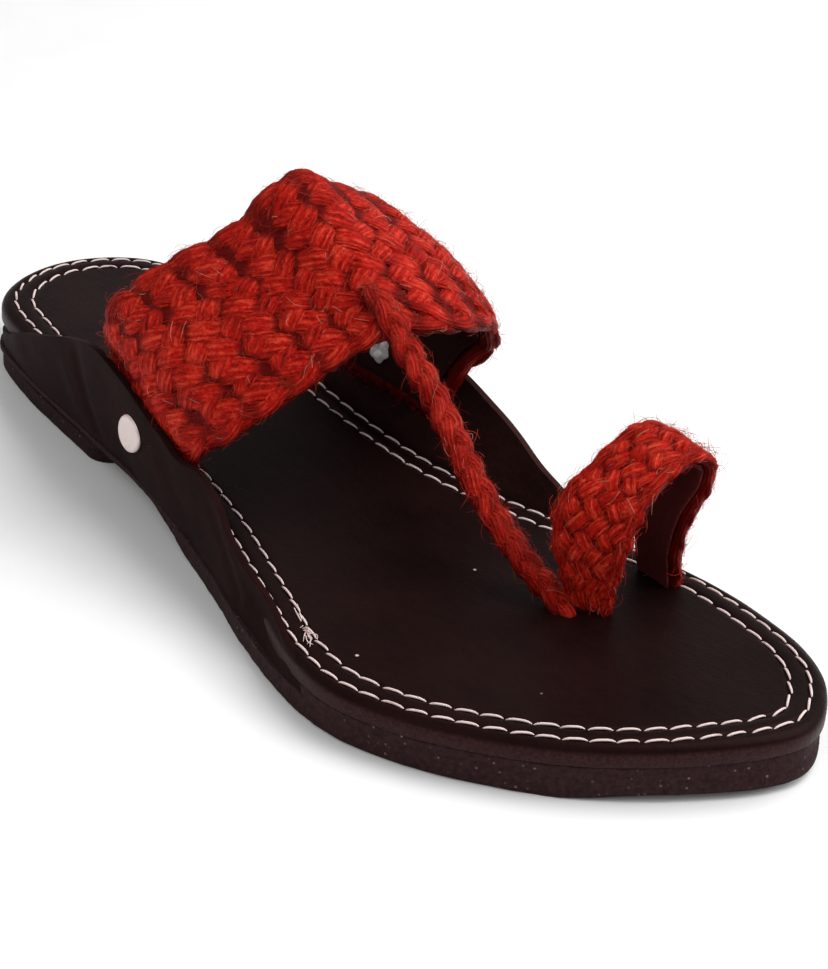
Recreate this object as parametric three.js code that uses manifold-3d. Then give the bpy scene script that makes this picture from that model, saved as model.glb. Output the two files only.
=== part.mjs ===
// Right-foot toe-loop sandal: a wide woven instep band, a plaited cord and a big-toe loop over a stitched
// suede footbed, a speckled foam outsole, a low heel lift and two riveted suede side flaps.
// Millimetres. +X runs from heel to toe, +Y to the wearer's left (the inner, medial side), +Z up from the floor.
import * as THREE from "three";
import { mergeVertices } from "three/addons/utils/BufferGeometryUtils.js";
import Module from "manifold-3d";

const wasm = await Module();
wasm.setup();

// ---------- driving dimensions ----------
const CLEARANCE = 0.3; // gap between neighbouring pieces
const FOOTBED_THICKNESS = 4.8;
const FLAP_THICKNESS = 2.2;
const BAND_THICKNESS = 4.6;
const LOOP_THICKNESS = 3.8;
const CORD_RADIUS = 3.3;
const SIDE = { medial: 1, lateral: -1 };

// heights of the footbed's top, along the shoe
const FOREFOOT_TOP = 11.8;
const HEEL_TOP = 17.4;
const RISE_FROM = 140; // the waist climbs from here ...
const RISE_TO = 72; // ... back to here
const TOE_SPRING = { from: 185, to: 250, lift: 2.4 };

// underside of the outsole
const HEEL_LIFT_HEIGHT = 4.6;
const HEEL_BREAST = 69; // front face of the heel lift
const HEEL_CORNER_RADIUS = 6;
const ARCH = { from: 92, to: 118, height: HEEL_LIFT_HEIGHT + CLEARANCE };
const TOE_BEVEL = { from: 222, to: 238, lift: 1.9 };
const HEEL_PROUD = 0.9; // how far the heel lift stands outside the footbed

// rim of the footbed: its two tips, and its sides at stations along the shoe
const HEEL_TIP = { along: 1.2, across: 4.0 };
const TOE_TIP = { along: 248.2, across: 10.9 };
const FOOTBED_STATIONS = [
  { along: 4, medial: 15.6, lateral: -8.2 },
  { along: 12, medial: 25.3, lateral: -17.9 },
  { along: 30, medial: 30.2, lateral: -23.5 },
  { along: 60, medial: 25.1, lateral: -27.7 },
  { along: 92, medial: 20.9, lateral: -31.6 },
  { along: 122, medial: 22.1, lateral: -36.7 },
  { along: 148, medial: 26.5, lateral: -45.5 },
  { along: 166, medial: 30.9, lateral: -52.0 },
  { along: 181, medial: 34.9, lateral: -53.9 },
  { along: 197, medial: 36.9, lateral: -49.4 },
  { along: 213, medial: 35.8, lateral: -40.1 },
  { along: 228, medial: 32.4, lateral: -27.6 },
  { along: 240, medial: 24.9, lateral: -11.2 },
];

// outsole: how far its side stands outside the footbed's rim
const OUTSOLE_STATIONS = [
  { along: 0, medial: 0.9, lateral: 0.9 },
  { along: 80, medial: 1.2, lateral: 1.0 },
  { along: 100, medial: 1.4, lateral: 1.6 },
  { along: 115, medial: 1.6, lateral: 3.0 },
  { along: 128, medial: 1.6, lateral: 3.4 },
  { along: 140, medial: 1.4, lateral: 3.4 },
  { along: 154, medial: 1.2, lateral: 2.6 },
  { along: 168, medial: 1.0, lateral: 1.0 },
  { along: 185, medial: 0.8, lateral: 0.3 },
  { along: 225, medial: 0.5, lateral: 0.3 },
  { along: 250, medial: 0.5, lateral: 0.5 },
];

// side flaps: bottom and top edge, and how far the outer face stands outside the footbed's rim at each
const FLAP_LATERAL = [
  { along: 9, low: 6.9, top: 8.6, base: 0.9, flare: 0.8 },
  { along: 20, low: 6.9, top: 12.3, base: 1.0, flare: 1.6 },
  { along: 29, low: 6.9, top: 17.0, base: 1.0, flare: 3.0 },
  { along: 39, low: 6.9, top: 21.4, base: 1.0, flare: 3.4 },
  { along: 48, low: 6.9, top: 25.4, base: 1.0, flare: 3.8 },
  { along: 60, low: 6.9, top: 30.0, base: 1.0, flare: 4.2 },
  { along: 74, low: 6.9, top: 34.0, base: 1.0, flare: 5.2 },
  { along: 83, low: 6.9, top: 33.0, base: 1.1, flare: 5.5 },
  { along: 93, low: 6.8, top: 30.8, base: 1.6, flare: 5.6 },
  { along: 104, low: 6.4, top: 27.2, base: 2.1, flare: 5.5 },
  { along: 113, low: 5.6, top: 25.2, base: 2.6, flare: 5.2 },
  { along: 121, low: 5.2, top: 26.2, base: 3.0, flare: 4.5 },
  { along: 129, low: 5.2, top: 24.4, base: 3.1, flare: 4.1 },
  { along: 136, low: 5.2, top: 18.2, base: 3.1, flare: 3.8 },
  { along: 142, low: 5.2, top: 11.2, base: 2.9, flare: 3.4 },
  { along: 148, low: 5.2, top: 7.2, base: 2.4, flare: 2.6 },
  { along: 153, low: 5.2, top: 6.2, base: 1.9, flare: 2.0 },
];
const FLAP_MEDIAL = [
  { along: 9, low: 6.9, top: 8.6, base: 0.9, flare: 0.8 },
  { along: 20, low: 6.9, top: 12.3, base: 1.0, flare: 1.6 },
  { along: 32, low: 6.9, top: 18.5, base: 1.0, flare: 3.4 },
  { along: 46, low: 6.9, top: 24.5, base: 1.0, flare: 5.0 },
  { along: 62, low: 6.9, top: 30.5, base: 1.0, flare: 7.0 },
  { along: 80, low: 6.9, top: 34.4, base: 1.2, flare: 9.8 },
  { along: 98, low: 6.9, top: 34.4, base: 1.6, flare: 11.0 },
  { along: 114, low: 5.6, top: 32.8, base: 1.8, flare: 10.2 },
  { along: 125, low: 5.2, top: 31.1, base: 1.8, flare: 8.9 },
  { along: 137, low: 5.2, top: 26.6, base: 1.8, flare: 7.4 },
  { along: 145, low: 5.2, top: 22.6, base: 1.6, flare: 6.2 },
  { along: 153, low: 5.2, top: 18.6, base: 1.6, flare: 4.6 },
  { along: 160, low: 5.2, top: 15.2, base: 1.5, flare: 3.4 },
  { along: 167, low: 5.2, top: 10.0, base: 1.4, flare: 2.6 },
  { along: 174, low: 5.2, top: 6.2, base: 1.2, flare: 1.4 },
];
const FLAP_REBATE = 1.6; // the outsole is cut back this far inside the footbed's rim behind a flap

// instep band, from the lateral flap over the instep to the medial flap: outside face of its two edges
const BAND_ROWS = [
  { rear: [77, -30.2, 18.6], front: [111, -36.1, 16.8], thickness: 2.8 },
  { rear: [75.5, -31.2, 26], front: [112, -36.7, 20.8], thickness: 3.2 },
  { rear: [74.5, -32.4, 35], front: [115, -37.8, 26.8], thickness: 4.2 },
  { rear: [75.6, -33.2, 44.6], front: [123.5, -32.2, 36.5], thickness: BAND_THICKNESS },
  { rear: [81, -25, 54.2], front: [130, -22, 45.9], thickness: BAND_THICKNESS },
  { rear: [91, -13, 64.8], front: [134.2, -11.3, 53.6], thickness: BAND_THICKNESS },
  { rear: [98.5, -1, 78.6], front: [138.5, -1, 57], thickness: BAND_THICKNESS },
  { rear: [101, 11, 74.6], front: [141, 11, 56], thickness: BAND_THICKNESS },
  { rear: [101, 22.4, 67.6], front: [138.5, 22.6, 52], thickness: BAND_THICKNESS },
  { rear: [98, 31.2, 56.6], front: [133.4, 30.6, 47.3], thickness: BAND_THICKNESS },
  { rear: [94, 34.4, 44], front: [130.6, 34.4, 39.4], thickness: BAND_THICKNESS },
  { rear: [91.4, 30.4, 36], front: [127.4, 30.2, 34.4], thickness: 3.8 },
  { rear: [89.6, 27.8, 28.4], front: [125, 27.6, 27.8], thickness: 3.2 },
  { rear: [88.8, 25.4, 19.8], front: [123.4, 25.6, 20], thickness: 2.8 },
];
const BAND_CROWN = 1.2; // outward swell across its width

// centre line of the plaited cord, from the band's front edge down into the footbed
const CORD_ROUTE = [
  [126, -2, 61.5],
  [132, -2, 58.2],
  [139, -1.4, 52.6],
  [149.6, -0.6, 44.0],
  [160.4, -0.6, 33.4],
  [173.4, 0, 22.6],
  [183.6, 1.4, 14.8],
  [189, 3.6, 10.4],
];

// big-toe loop, from the slit it shares with the cord over the toe to the medial side
const LOOP_ROWS = [
  { rear: [190, 6.0, 8.2], front: [196, 9.0, 8.2] },
  { rear: [188, 5.7, 12.0], front: [196.2, 8.7, 12.6] },
  { rear: [185.5, 4.0, 19.0], front: [197.6, 8.8, 20.5] },
  { rear: [184, 1.6, 27.0], front: [199, 9.0, 29.5] },
  { rear: [183.5, 4.2, 34.6], front: [200, 10.2, 37.0] },
  { rear: [184, 11.6, 41.4], front: [200.6, 13.6, 43.0] },
  { rear: [185, 18.4, 46.9], front: [201, 19.6, 46.8] },
  { rear: [186, 24.8, 48.6], front: [201.4, 25.2, 47.2] },
  { rear: [186.4, 30.6, 45.4], front: [201.6, 29.6, 43.8] },
  { rear: [186.4, 32.4, 38.6], front: [201.4, 29.6, 38.0] },
  { rear: [186.6, 31.4, 30.0], front: [200, 27.6, 30.6] },
  { rear: [187, 30.6, 22.0], front: [198, 28.0, 22.4] },
  { rear: [188, 31.0, 14.5], front: [196.6, 30.2, 14.4] },
  { rear: [189, 31.6, 8.2], front: [195.6, 31.4, 8.2] },
];

// rivets: centre of the head's underside on the flap, with the way the head faces
const RIVET_HEAD = { radius: 4.3, height: 1.1 };
const RIVET_SHANK_RADIUS = 1.5;
const RIVET_END = { radius: 2.6, height: 1.2 };
const RIVETS = {
  lateral: { at: [90.7, -36.76, 21.2], facing: [-0.07, -0.995, 0.07], grip: 7.2 },
  medial: { at: [102.0, 32.1, 27.4], facing: [0.03, 0.96, -0.28], grip: 7.4 },
};

// fineness of the faceted solids
const RIM_STEPS = 48; // from heel tip to toe tip, on each side
const HEEL_STEPS = 22; // from heel tip to heel breast, on each side
const FLAP_STEPS = 34;
const FLAP_HEIGHT_STEPS = 7;
const BAND_STEPS = 38;
const BAND_WIDTH_STEPS = 7;
const CORD_STEPS = 16;
const CORD_SIDES = 8;
const LOOP_STEPS = 36;
const LOOP_WIDTH_STEPS = 5;
const RIVET_SEGMENTS = 20;

const MATERIALS = {
  suede: new THREE.MeshStandardMaterial({ color: 0x1d1414, roughness: 0.95, metalness: 0 }),
  foam: new THREE.MeshStandardMaterial({ color: 0x2a1d1e, roughness: 0.85, metalness: 0 }),
  lift: new THREE.MeshStandardMaterial({ color: 0x241a1a, roughness: 0.8, metalness: 0 }),
  jute: new THREE.MeshStandardMaterial({ color: 0xa3201a, roughness: 0.9, metalness: 0 }),
  rivet: new THREE.MeshStandardMaterial({ color: 0xe6d3cf, roughness: 0.35, metalness: 0.8 }),
};

// ---------- small helpers ----------
const smooth = (from, to, value) => THREE.MathUtils.smoothstep(value, from, to);
const vec = (p) => new THREE.Vector3(...p);

/** Value of a named column at a station, from a table sorted by its `along` column. */
function column(table, name, along) {
  const last = table.length - 1;
  if (along <= table[0].along) return table[0][name];
  if (along >= table[last].along) return table[last][name];
  const next = table.findIndex((row) => row.along > along);
  const [a, b] = [table[next - 1], table[next]];
  const share = (along - a.along) / (b.along - a.along);
  return THREE.MathUtils.lerp(a[name], b[name], share * share * (3 - 2 * share) * 0.5 + share * 0.5);
}

/** Closed solid between successive loops of equal length; the two ends are closed as ladders. */
function loft(loops) {
  const size = loops[0].length;
  const positions = loops.flat().flatMap((p) => [p.x, p.y, p.z]);
  const index = [];
  for (let k = 0; k + 1 < loops.length; k++) {
    for (let i = 0; i < size; i++) {
      const j = (i + 1) % size;
      const [a, b] = [k * size + i, k * size + j];
      index.push(a, b, a + size, b, b + size, a + size);
    }
  }
  const ladder = (start, flip) => {
    for (let i = 0; i < Math.floor(size / 2); i++) {
      const [a, b, c, d] = [i, i + 1, size - 2 - i, size - 1 - i];
      if (c < b) continue;
      const pair = c === b ? [[a, b, d]] : [[a, b, c], [a, c, d]];
      for (const [p, q, r] of pair) index.push(start + p, start + (flip ? r : q), start + (flip ? q : r));
    }
  };
  ladder(0, true);
  ladder((loops.length - 1) * size, false);
  const geometry = new THREE.BufferGeometry();
  geometry.setAttribute("position", new THREE.Float32BufferAttribute(positions, 3));
  geometry.setIndex(index);
  return facingOut(geometry);
}

/** The same geometry, its triangles turned over if they enclose a negative volume. */
function facingOut(geometry) {
  const at = geometry.getAttribute("position");
  const index = [...geometry.getIndex().array];
  let volume = 0;
  for (let i = 0; i < index.length; i += 3) {
    const [a, b, c] = [0, 1, 2].map((k) => new THREE.Vector3().fromBufferAttribute(at, index[i + k]));
    volume += a.dot(b.cross(c));
  }
  if (volume < 0) {
    for (let i = 0; i < index.length; i += 3) [index[i + 1], index[i + 2]] = [index[i + 2], index[i + 1]];
    geometry.setIndex(index);
  }
  return geometry;
}

/** A manifold solid from a closed geometry, its shared vertices merged. */
function solid(geometry) {
  const bare = geometry.clone();
  bare.deleteAttribute("normal");
  bare.deleteAttribute("uv");
  const merged = mergeVertices(bare, 1e-4);
  return new wasm.Manifold(new wasm.Mesh({
    numProp: 3,
    vertProperties: new Float32Array(merged.getAttribute("position").array),
    triVerts: new Uint32Array(merged.getIndex().array),
  }));
}

/** A geometry from a manifold solid. */
function geometryOf(manifold) {
  const mesh = manifold.getMesh();
  const geometry = new THREE.BufferGeometry();
  geometry.setAttribute("position", new THREE.BufferAttribute(new Float32Array(mesh.vertProperties), 3));
  geometry.setIndex([...mesh.triVerts]);
  return geometry;
}

// ---------- rim of the footbed ----------
const rimCurve = new THREE.CatmullRomCurve3(
  [
    new THREE.Vector3(HEEL_TIP.along, HEEL_TIP.across, 0),
    ...FOOTBED_STATIONS.map((s) => new THREE.Vector3(s.along, s.medial, 0)),
    new THREE.Vector3(TOE_TIP.along, TOE_TIP.across, 0),
    ...FOOTBED_STATIONS.toReversed().map((s) => new THREE.Vector3(s.along, s.lateral, 0)),
  ],
  true,
  "centripetal",
);
const ROWS_PER_SIDE = FOOTBED_STATIONS.length + 1;

/** Rim point on one side; `share` runs from 0 at the heel tip to 1 at the toe tip. */
function rimPoint(side, share) {
  const u = (share * ROWS_PER_SIDE) / (2 * ROWS_PER_SIDE);
  return rimCurve.getPoint(side === SIDE.medial ? u : (1 - u) % 1);
}

/** Share along one side at which the rim reaches a station. */
function shareAt(side, along) {
  let [low, high] = [0, 1];
  for (let k = 0; k < 30; k++) {
    const middle = (low + high) / 2;
    if (rimPoint(side, middle).x < along) low = middle;
    else high = middle;
  }
  return (low + high) / 2;
}

/** Outward unit normal of the rim in plan. */
function rimNormal(side, share) {
  const step = 1e-3;
  const along = rimPoint(side, Math.min(1, share + step)).sub(rimPoint(side, Math.max(0, share - step)));
  return new THREE.Vector3(-side * along.y, side * along.x, 0).normalize();
}

/** Once round the rim, heel tip first, medial side out and lateral side back. */
const RIM = [];
for (let i = 0; i <= RIM_STEPS; i++) RIM.push({ side: SIDE.medial, share: i / RIM_STEPS });
for (let i = RIM_STEPS - 1; i > 0; i--) RIM.push({ side: SIDE.lateral, share: i / RIM_STEPS });
for (const stop of RIM) {
  stop.point = rimPoint(stop.side, stop.share);
  stop.normal = rimNormal(stop.side, stop.share);
}

/** A loop round the rim, moved outwards by `proud` and set at the height `level` gives. */
function rimLoop(proud, level) {
  return RIM.map((stop) => {
    const out = typeof proud === "function" ? proud(stop) : proud;
    const point = stop.point.clone().addScaledVector(stop.normal, out);
    point.z = level(stop.point.x, stop);
    return point;
  });
}

// ---------- levels along the shoe ----------
const toeSpring = (along) => {
  const share = Math.max(0, (along - TOE_SPRING.from) / (TOE_SPRING.to - TOE_SPRING.from));
  return TOE_SPRING.lift * share * share;
};
const footbedTop = (along) =>
  FOREFOOT_TOP + (HEEL_TOP - FOREFOOT_TOP) * (1 - smooth(RISE_TO, RISE_FROM, along)) + toeSpring(along);
const footbedBottom = (along) => footbedTop(along) - FOOTBED_THICKNESS;
const outsoleBottom = (along) =>
  ARCH.height * (1 - smooth(ARCH.from, ARCH.to, along)) + TOE_BEVEL.lift * smooth(TOE_BEVEL.from, TOE_BEVEL.to, along);

// ---------- sole pieces ----------
/** Board wrapped in suede: flat faces and a rounded rim. */
function footbed() {
  const round = (radius, angle) => radius * (1 - Math.sin(angle));
  const [lower, upper] = [1.5, 2.3];
  const loops = [rimLoop(-lower - 6, footbedBottom)];
  for (const angle of [0, Math.PI / 4, Math.PI / 2]) {
    loops.push(rimLoop(-round(lower, angle), (x) => footbedBottom(x) + lower * (1 - Math.cos(angle))));
  }
  for (const angle of [Math.PI / 2, Math.PI / 3, Math.PI / 6, 0]) {
    loops.push(rimLoop(-round(upper, angle), (x) => footbedTop(x) - upper * (1 - Math.cos(angle))));
  }
  loops.push(rimLoop(-upper - 6, footbedTop));
  return loft(loops);
}

/** Whether a flap lies against the outsole here, faded at its two ends. */
function flapCover({ side, point }) {
  const rows = side === SIDE.medial ? FLAP_MEDIAL : FLAP_LATERAL;
  const end = rows[rows.length - 1].along;
  return smooth(rows[0].along - 5, rows[0].along - 1, point.x) * (1 - smooth(end + 1, end + 6, point.x));
}

/** Foam outsole: flat tread, arched waist, and a rebate behind each flap. */
function outsole() {
  const proud = (stop) => column(OUTSOLE_STATIONS, stop.side === SIDE.medial ? "medial" : "lateral", stop.point.x);
  const top = (x) => footbedBottom(x) - CLEARANCE;
  const ledge = (x, stop) => {
    const rows = stop.side === SIDE.medial ? FLAP_MEDIAL : FLAP_LATERAL;
    return column(rows, "low", x) - CLEARANCE;
  };
  const behind = (stop) => THREE.MathUtils.lerp(proud(stop), -FLAP_REBATE, flapCover(stop));
  return loft([
    rimLoop((stop) => proud(stop) - 0.9, outsoleBottom),
    rimLoop(proud, (x) => outsoleBottom(x) + 0.5),
    rimLoop(proud, ledge),
    rimLoop(behind, (x, stop) => ledge(x, stop) + 0.02),
    rimLoop(behind, (x) => top(x) - 0.8),
    rimLoop((stop) => behind(stop) - 0.8, top),
  ]);
}

/** Low heel lift: the heel's own outline as far as the breast, whose two corners are rounded. */
function heelLift() {
  const stop = (side, k) => {
    const share = shareAt(side, HEEL_BREAST) * Math.sin((Math.PI / 2) * (k / HEEL_STEPS));
    const point = rimPoint(side, share);
    const past = Math.max(0, 1 - (HEEL_BREAST - point.x) / HEEL_CORNER_RADIUS);
    const tuck = HEEL_CORNER_RADIUS * (1 - Math.sqrt(1 - Math.min(1, past) ** 2));
    return { point, tuck, normal: rimNormal(side, share) };
  };
  const ring = [];
  for (let k = 0; k <= HEEL_STEPS; k++) ring.push(stop(SIDE.medial, k));
  for (let k = HEEL_STEPS; k > 0; k--) ring.push(stop(SIDE.lateral, k));
  const loop = (proud, height) =>
    ring.map(({ point, tuck, normal }) => point.clone().addScaledVector(normal, proud - tuck).setZ(height));
  return solid(loft([loop(HEEL_PROUD - 0.7, 0), loop(HEEL_PROUD, 0.5), loop(HEEL_PROUD, HEEL_LIFT_HEIGHT)]));
}

// ---------- side flaps ----------
/** Height and outward place of a flap's outer face; `share` runs from its bottom edge to its top edge. */
function flapFace(rows, along, share) {
  const [low, top] = [column(rows, "low", along), column(rows, "top", along)];
  const [base, flare] = [column(rows, "base", along), column(rows, "flare", along)];
  const knee = low + 0.45 * (top - low);
  const [a, b, c] = [(1 - share) ** 2, 2 * share * (1 - share), share ** 2];
  return { height: a * low + b * knee + c * top, out: a * base + (b + c) * flare };
}

/** Suede flap glued against the outsole, passing the footbed's rim and standing up beside the foot. */
function flap(side, rows) {
  const [from, to] = [rows[0].along, rows[rows.length - 1].along];
  const loops = [];
  for (let k = 0; k <= FLAP_STEPS; k++) {
    const along = THREE.MathUtils.lerp(from, to, k / FLAP_STEPS);
    const share = shareAt(side, along);
    const [point, normal] = [rimPoint(side, share), rimNormal(side, share)];
    const place = (t, inwards, lift) => {
      const face = flapFace(rows, along, t);
      const at = point.clone().addScaledVector(normal, face.out - inwards);
      at.z = face.height + lift;
      return at;
    };
    const outer = [];
    const inner = [];
    for (let i = 0; i <= FLAP_HEIGHT_STEPS; i++) {
      const t = i / FLAP_HEIGHT_STEPS;
      const edge = i === 0 || i === FLAP_HEIGHT_STEPS ? 0.5 : 0;
      outer.push(place(t, edge, 0));
      inner.unshift(place(t, FLAP_THICKNESS - edge, 0));
    }
    loops.push([...outer, ...inner]);
  }
  return loft(loops);
}

// ---------- woven upper ----------
/** Flat strap through rows of edge points; `grow` swells it all round for cutting a clearance. */
function strap(rows, { steps, widthSteps, crown, wall, grow = 0 }) {
  const curveOf = (name) => new THREE.CatmullRomCurve3(rows.map((row) => vec(row[name])), false, "centripetal");
  const [rear, front] = [curveOf("rear"), curveOf("front")];
  const middle = (u) => rear.getPoint(u).add(front.getPoint(u)).multiplyScalar(0.5);
  const loops = [];
  for (let k = 0; k <= steps; k++) {
    const u = k / steps;
    const [a, b] = [rear.getPoint(u), front.getPoint(u)];
    const run = middle(Math.min(1, u + 0.01)).sub(middle(Math.max(0, u - 0.01))).normalize();
    const across = b.clone().sub(a).normalize();
    const out = run.clone().cross(across).normalize().multiplyScalar(-1);
    const row = u * (rows.length - 1);
    const [here, next] = [rows[Math.floor(row)], rows[Math.min(rows.length - 1, Math.floor(row) + 1)]];
    const thickness = wall ?? THREE.MathUtils.lerp(here.thickness, next.thickness, row % 1);
    const endGrow = k === 0 ? -grow : k === steps ? grow : 0;
    const skin = (t, depth) => {
      const rounding = Math.pow(Math.max(0, 1 - Math.pow(Math.abs(2 * t - 1), 4)), 0.5);
      const swell = crown * 4 * t * (1 - t);
      const centre = a.clone().lerp(b, t).addScaledVector(across, (2 * t - 1) * grow);
      centre.addScaledVector(out, swell - thickness / 2 + depth * (thickness / 2 + grow) * (0.35 + 0.65 * rounding));
      return centre.addScaledVector(run, endGrow);
    };
    const outer = [];
    const inner = [];
    for (let i = 0; i <= widthSteps; i++) {
      const t = 0.5 - 0.5 * Math.cos((Math.PI * i) / widthSteps);
      outer.push(skin(t, 1));
      inner.unshift(skin(t, -1));
    }
    loops.push([...outer, ...inner]);
  }
  return solid(loft(loops));
}

const band = (grow) =>
  strap(BAND_ROWS, { steps: BAND_STEPS, widthSteps: BAND_WIDTH_STEPS, crown: BAND_CROWN, grow });
const toeLoop = (grow) =>
  strap(LOOP_ROWS, { steps: LOOP_STEPS, widthSteps: LOOP_WIDTH_STEPS, crown: 0.5, wall: LOOP_THICKNESS, grow });

/** Round cord along its route, slimmer where it leaves the band. */
function cord(grow = 0) {
  const route = new THREE.CatmullRomCurve3(CORD_ROUTE.map(vec), false, "centripetal");
  const loops = [];
  for (let k = 0; k <= CORD_STEPS; k++) {
    const u = k / CORD_STEPS;
    const run = route.getTangent(u);
    const across = new THREE.Vector3(0, 1, 0).addScaledVector(run, -run.y).normalize();
    const up = run.clone().cross(across);
    const centre = route.getPoint(u);
    if (k === CORD_STEPS) centre.addScaledVector(run, grow);
    const radius = CORD_RADIUS * THREE.MathUtils.lerp(0.55, 1, smooth(0, 0.2, u)) + grow;
    loops.push(Array.from({ length: CORD_SIDES }, (_, i) => {
      const angle = (2 * Math.PI * (i + 0.5)) / CORD_SIDES;
      const point = centre.clone().addScaledVector(across, radius * Math.cos(angle));
      return point.addScaledVector(up, radius * Math.sin(angle));
    }));
  }
  return solid(loft(loops));
}

// ---------- rivets ----------
/** Rivet with a flat domed head, a shank through flap and band, and a small turned-over end. */
function rivet({ at, facing, grip }, grow = 0) {
  const { radius, height } = RIVET_HEAD;
  const profile = [
    [0, -grip - RIVET_END.height - grow],
    [RIVET_END.radius + grow, -grip - RIVET_END.height * 0.6 - grow],
    [RIVET_END.radius + grow, -grip + grow],
    [RIVET_SHANK_RADIUS + grow, -grip + grow],
    [RIVET_SHANK_RADIUS + grow, -grow],
    [radius + grow, -grow],
    [radius + grow, height * 0.35 + grow],
    [radius * 0.8 + grow, height * 0.85 + grow],
    [0, height + grow],
  ].map(([r, z]) => new THREE.Vector2(r, z));
  const body = new THREE.LatheGeometry(profile, RIVET_SEGMENTS);
  body.applyQuaternion(new THREE.Quaternion().setFromUnitVectors(new THREE.Vector3(0, 1, 0), vec(facing).normalize()));
  body.translate(...at);
  return solid(facingOut(mergeVertices(stripped(body), 1e-4)));
}

/** A geometry with nothing but its positions. */
function stripped(geometry) {
  geometry.deleteAttribute("normal");
  geometry.deleteAttribute("uv");
  return geometry;
}

// ---------- assembly ----------
const cutters = {
  band: band(CLEARANCE),
  footEnds: toeLoop(CLEARANCE).add(cord(CLEARANCE)),
  lateral: rivet(RIVETS.lateral, CLEARANCE),
  medial: rivet(RIVETS.medial, CLEARANCE),
};
const footbedSolid = solid(footbed()).subtract(cutters.footEnds);
const flapSolid = (name, rows) =>
  solid(flap(SIDE[name], rows)).subtract(cutters.band).subtract(cutters[name]);
const upperSolid = band(0).add(cord()).add(toeLoop(0)).subtract(cutters.lateral).subtract(cutters.medial);

const PIECES = [
  { name: "outsole", material: MATERIALS.foam, shape: solid(outsole()) },
  { name: "heel_lift", material: MATERIALS.lift, shape: heelLift() },
  { name: "footbed", material: MATERIALS.suede, shape: footbedSolid },
  { name: "flap_lateral", material: MATERIALS.suede, shape: flapSolid("lateral", FLAP_LATERAL) },
  { name: "flap_medial", material: MATERIALS.suede, shape: flapSolid("medial", FLAP_MEDIAL) },
  { name: "upper", material: MATERIALS.jute, shape: upperSolid },
  { name: "rivet_lateral", material: MATERIALS.rivet, shape: rivet(RIVETS.lateral) },
  { name: "rivet_medial", material: MATERIALS.rivet, shape: rivet(RIVETS.medial) },
];

const sandal = new THREE.Group();
for (const { name, material, shape } of PIECES) {
  const mesh = new THREE.Mesh(geometryOf(shape), material);
  mesh.name = name;
  sandal.add(mesh);
}

// the origin is on the floor, under the middle of the sandal's box
const middle = new THREE.Box3().setFromObject(sandal).getCenter(new THREE.Vector3());
sandal.position.set(-middle.x, -middle.y, 0);
sandal.updateMatrixWorld(true);

export default sandal;
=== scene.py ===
"""Finish of a right-foot toe-loop sandal: plaited jute upper, stitched suede footbed, speckled foam sole.

Lengths in the tables are millimetres in the shoemaker's bench frame: x from heel to toe, y to the wearer's
left (the inner, medial side), z up from the floor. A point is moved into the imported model's frame, in metres,
when it becomes part of a mesh. Texture scales are per metre, and per millimetre on a strand's own UV.
"""

import logging
import math
from dataclasses import dataclass, field
from enum import Enum
from functools import reduce
from typing import Callable, Dict, List, Optional, Sequence, Tuple

import bpy
import numpy as np
from mathutils import Matrix, Vector


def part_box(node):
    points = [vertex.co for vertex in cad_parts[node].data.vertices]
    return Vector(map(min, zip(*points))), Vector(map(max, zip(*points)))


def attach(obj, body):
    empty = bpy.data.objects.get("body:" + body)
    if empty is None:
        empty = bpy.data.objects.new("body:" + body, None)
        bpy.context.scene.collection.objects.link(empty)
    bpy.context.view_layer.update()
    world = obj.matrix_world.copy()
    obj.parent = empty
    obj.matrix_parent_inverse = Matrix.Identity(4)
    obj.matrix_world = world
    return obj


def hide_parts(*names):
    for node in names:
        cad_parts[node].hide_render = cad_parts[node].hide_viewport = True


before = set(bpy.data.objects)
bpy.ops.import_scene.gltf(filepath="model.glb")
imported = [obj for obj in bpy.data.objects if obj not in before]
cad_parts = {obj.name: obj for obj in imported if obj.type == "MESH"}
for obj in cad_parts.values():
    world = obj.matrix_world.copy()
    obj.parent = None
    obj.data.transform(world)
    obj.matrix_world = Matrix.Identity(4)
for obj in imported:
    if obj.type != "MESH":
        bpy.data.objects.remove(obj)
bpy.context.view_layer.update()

LOG = logging.getLogger("sandal")
MM = 0.001
WELD = 2e-7
Row = Dict[str, float]
Place = Tuple[float, float, float]
Colour = Tuple[float, float, float, float]
Level = Callable[[np.ndarray], np.ndarray]
Socket = bpy.types.NodeSocket


class Side(Enum):
    """The two sides of the shoe; the value turns a rim direction into its outward normal."""

    MEDIAL = 1
    LATERAL = -1


class Slot(Enum):
    """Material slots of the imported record."""

    SUEDE = "suede"
    FOAM = "foam"
    LIFT = "lift"
    JUTE = "jute"
    RIVET = "rivet"


# ---------------------------------------------------------------- numbers and curves


def smooth(low: float, high: float, value: np.ndarray) -> np.ndarray:
    """Smooth step from 0 where a value is low to 1 where it is high."""
    share = np.clip((np.asarray(value, float) - low) / (high - low), 0, 1)
    return share * share * (3 - 2 * share)


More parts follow.
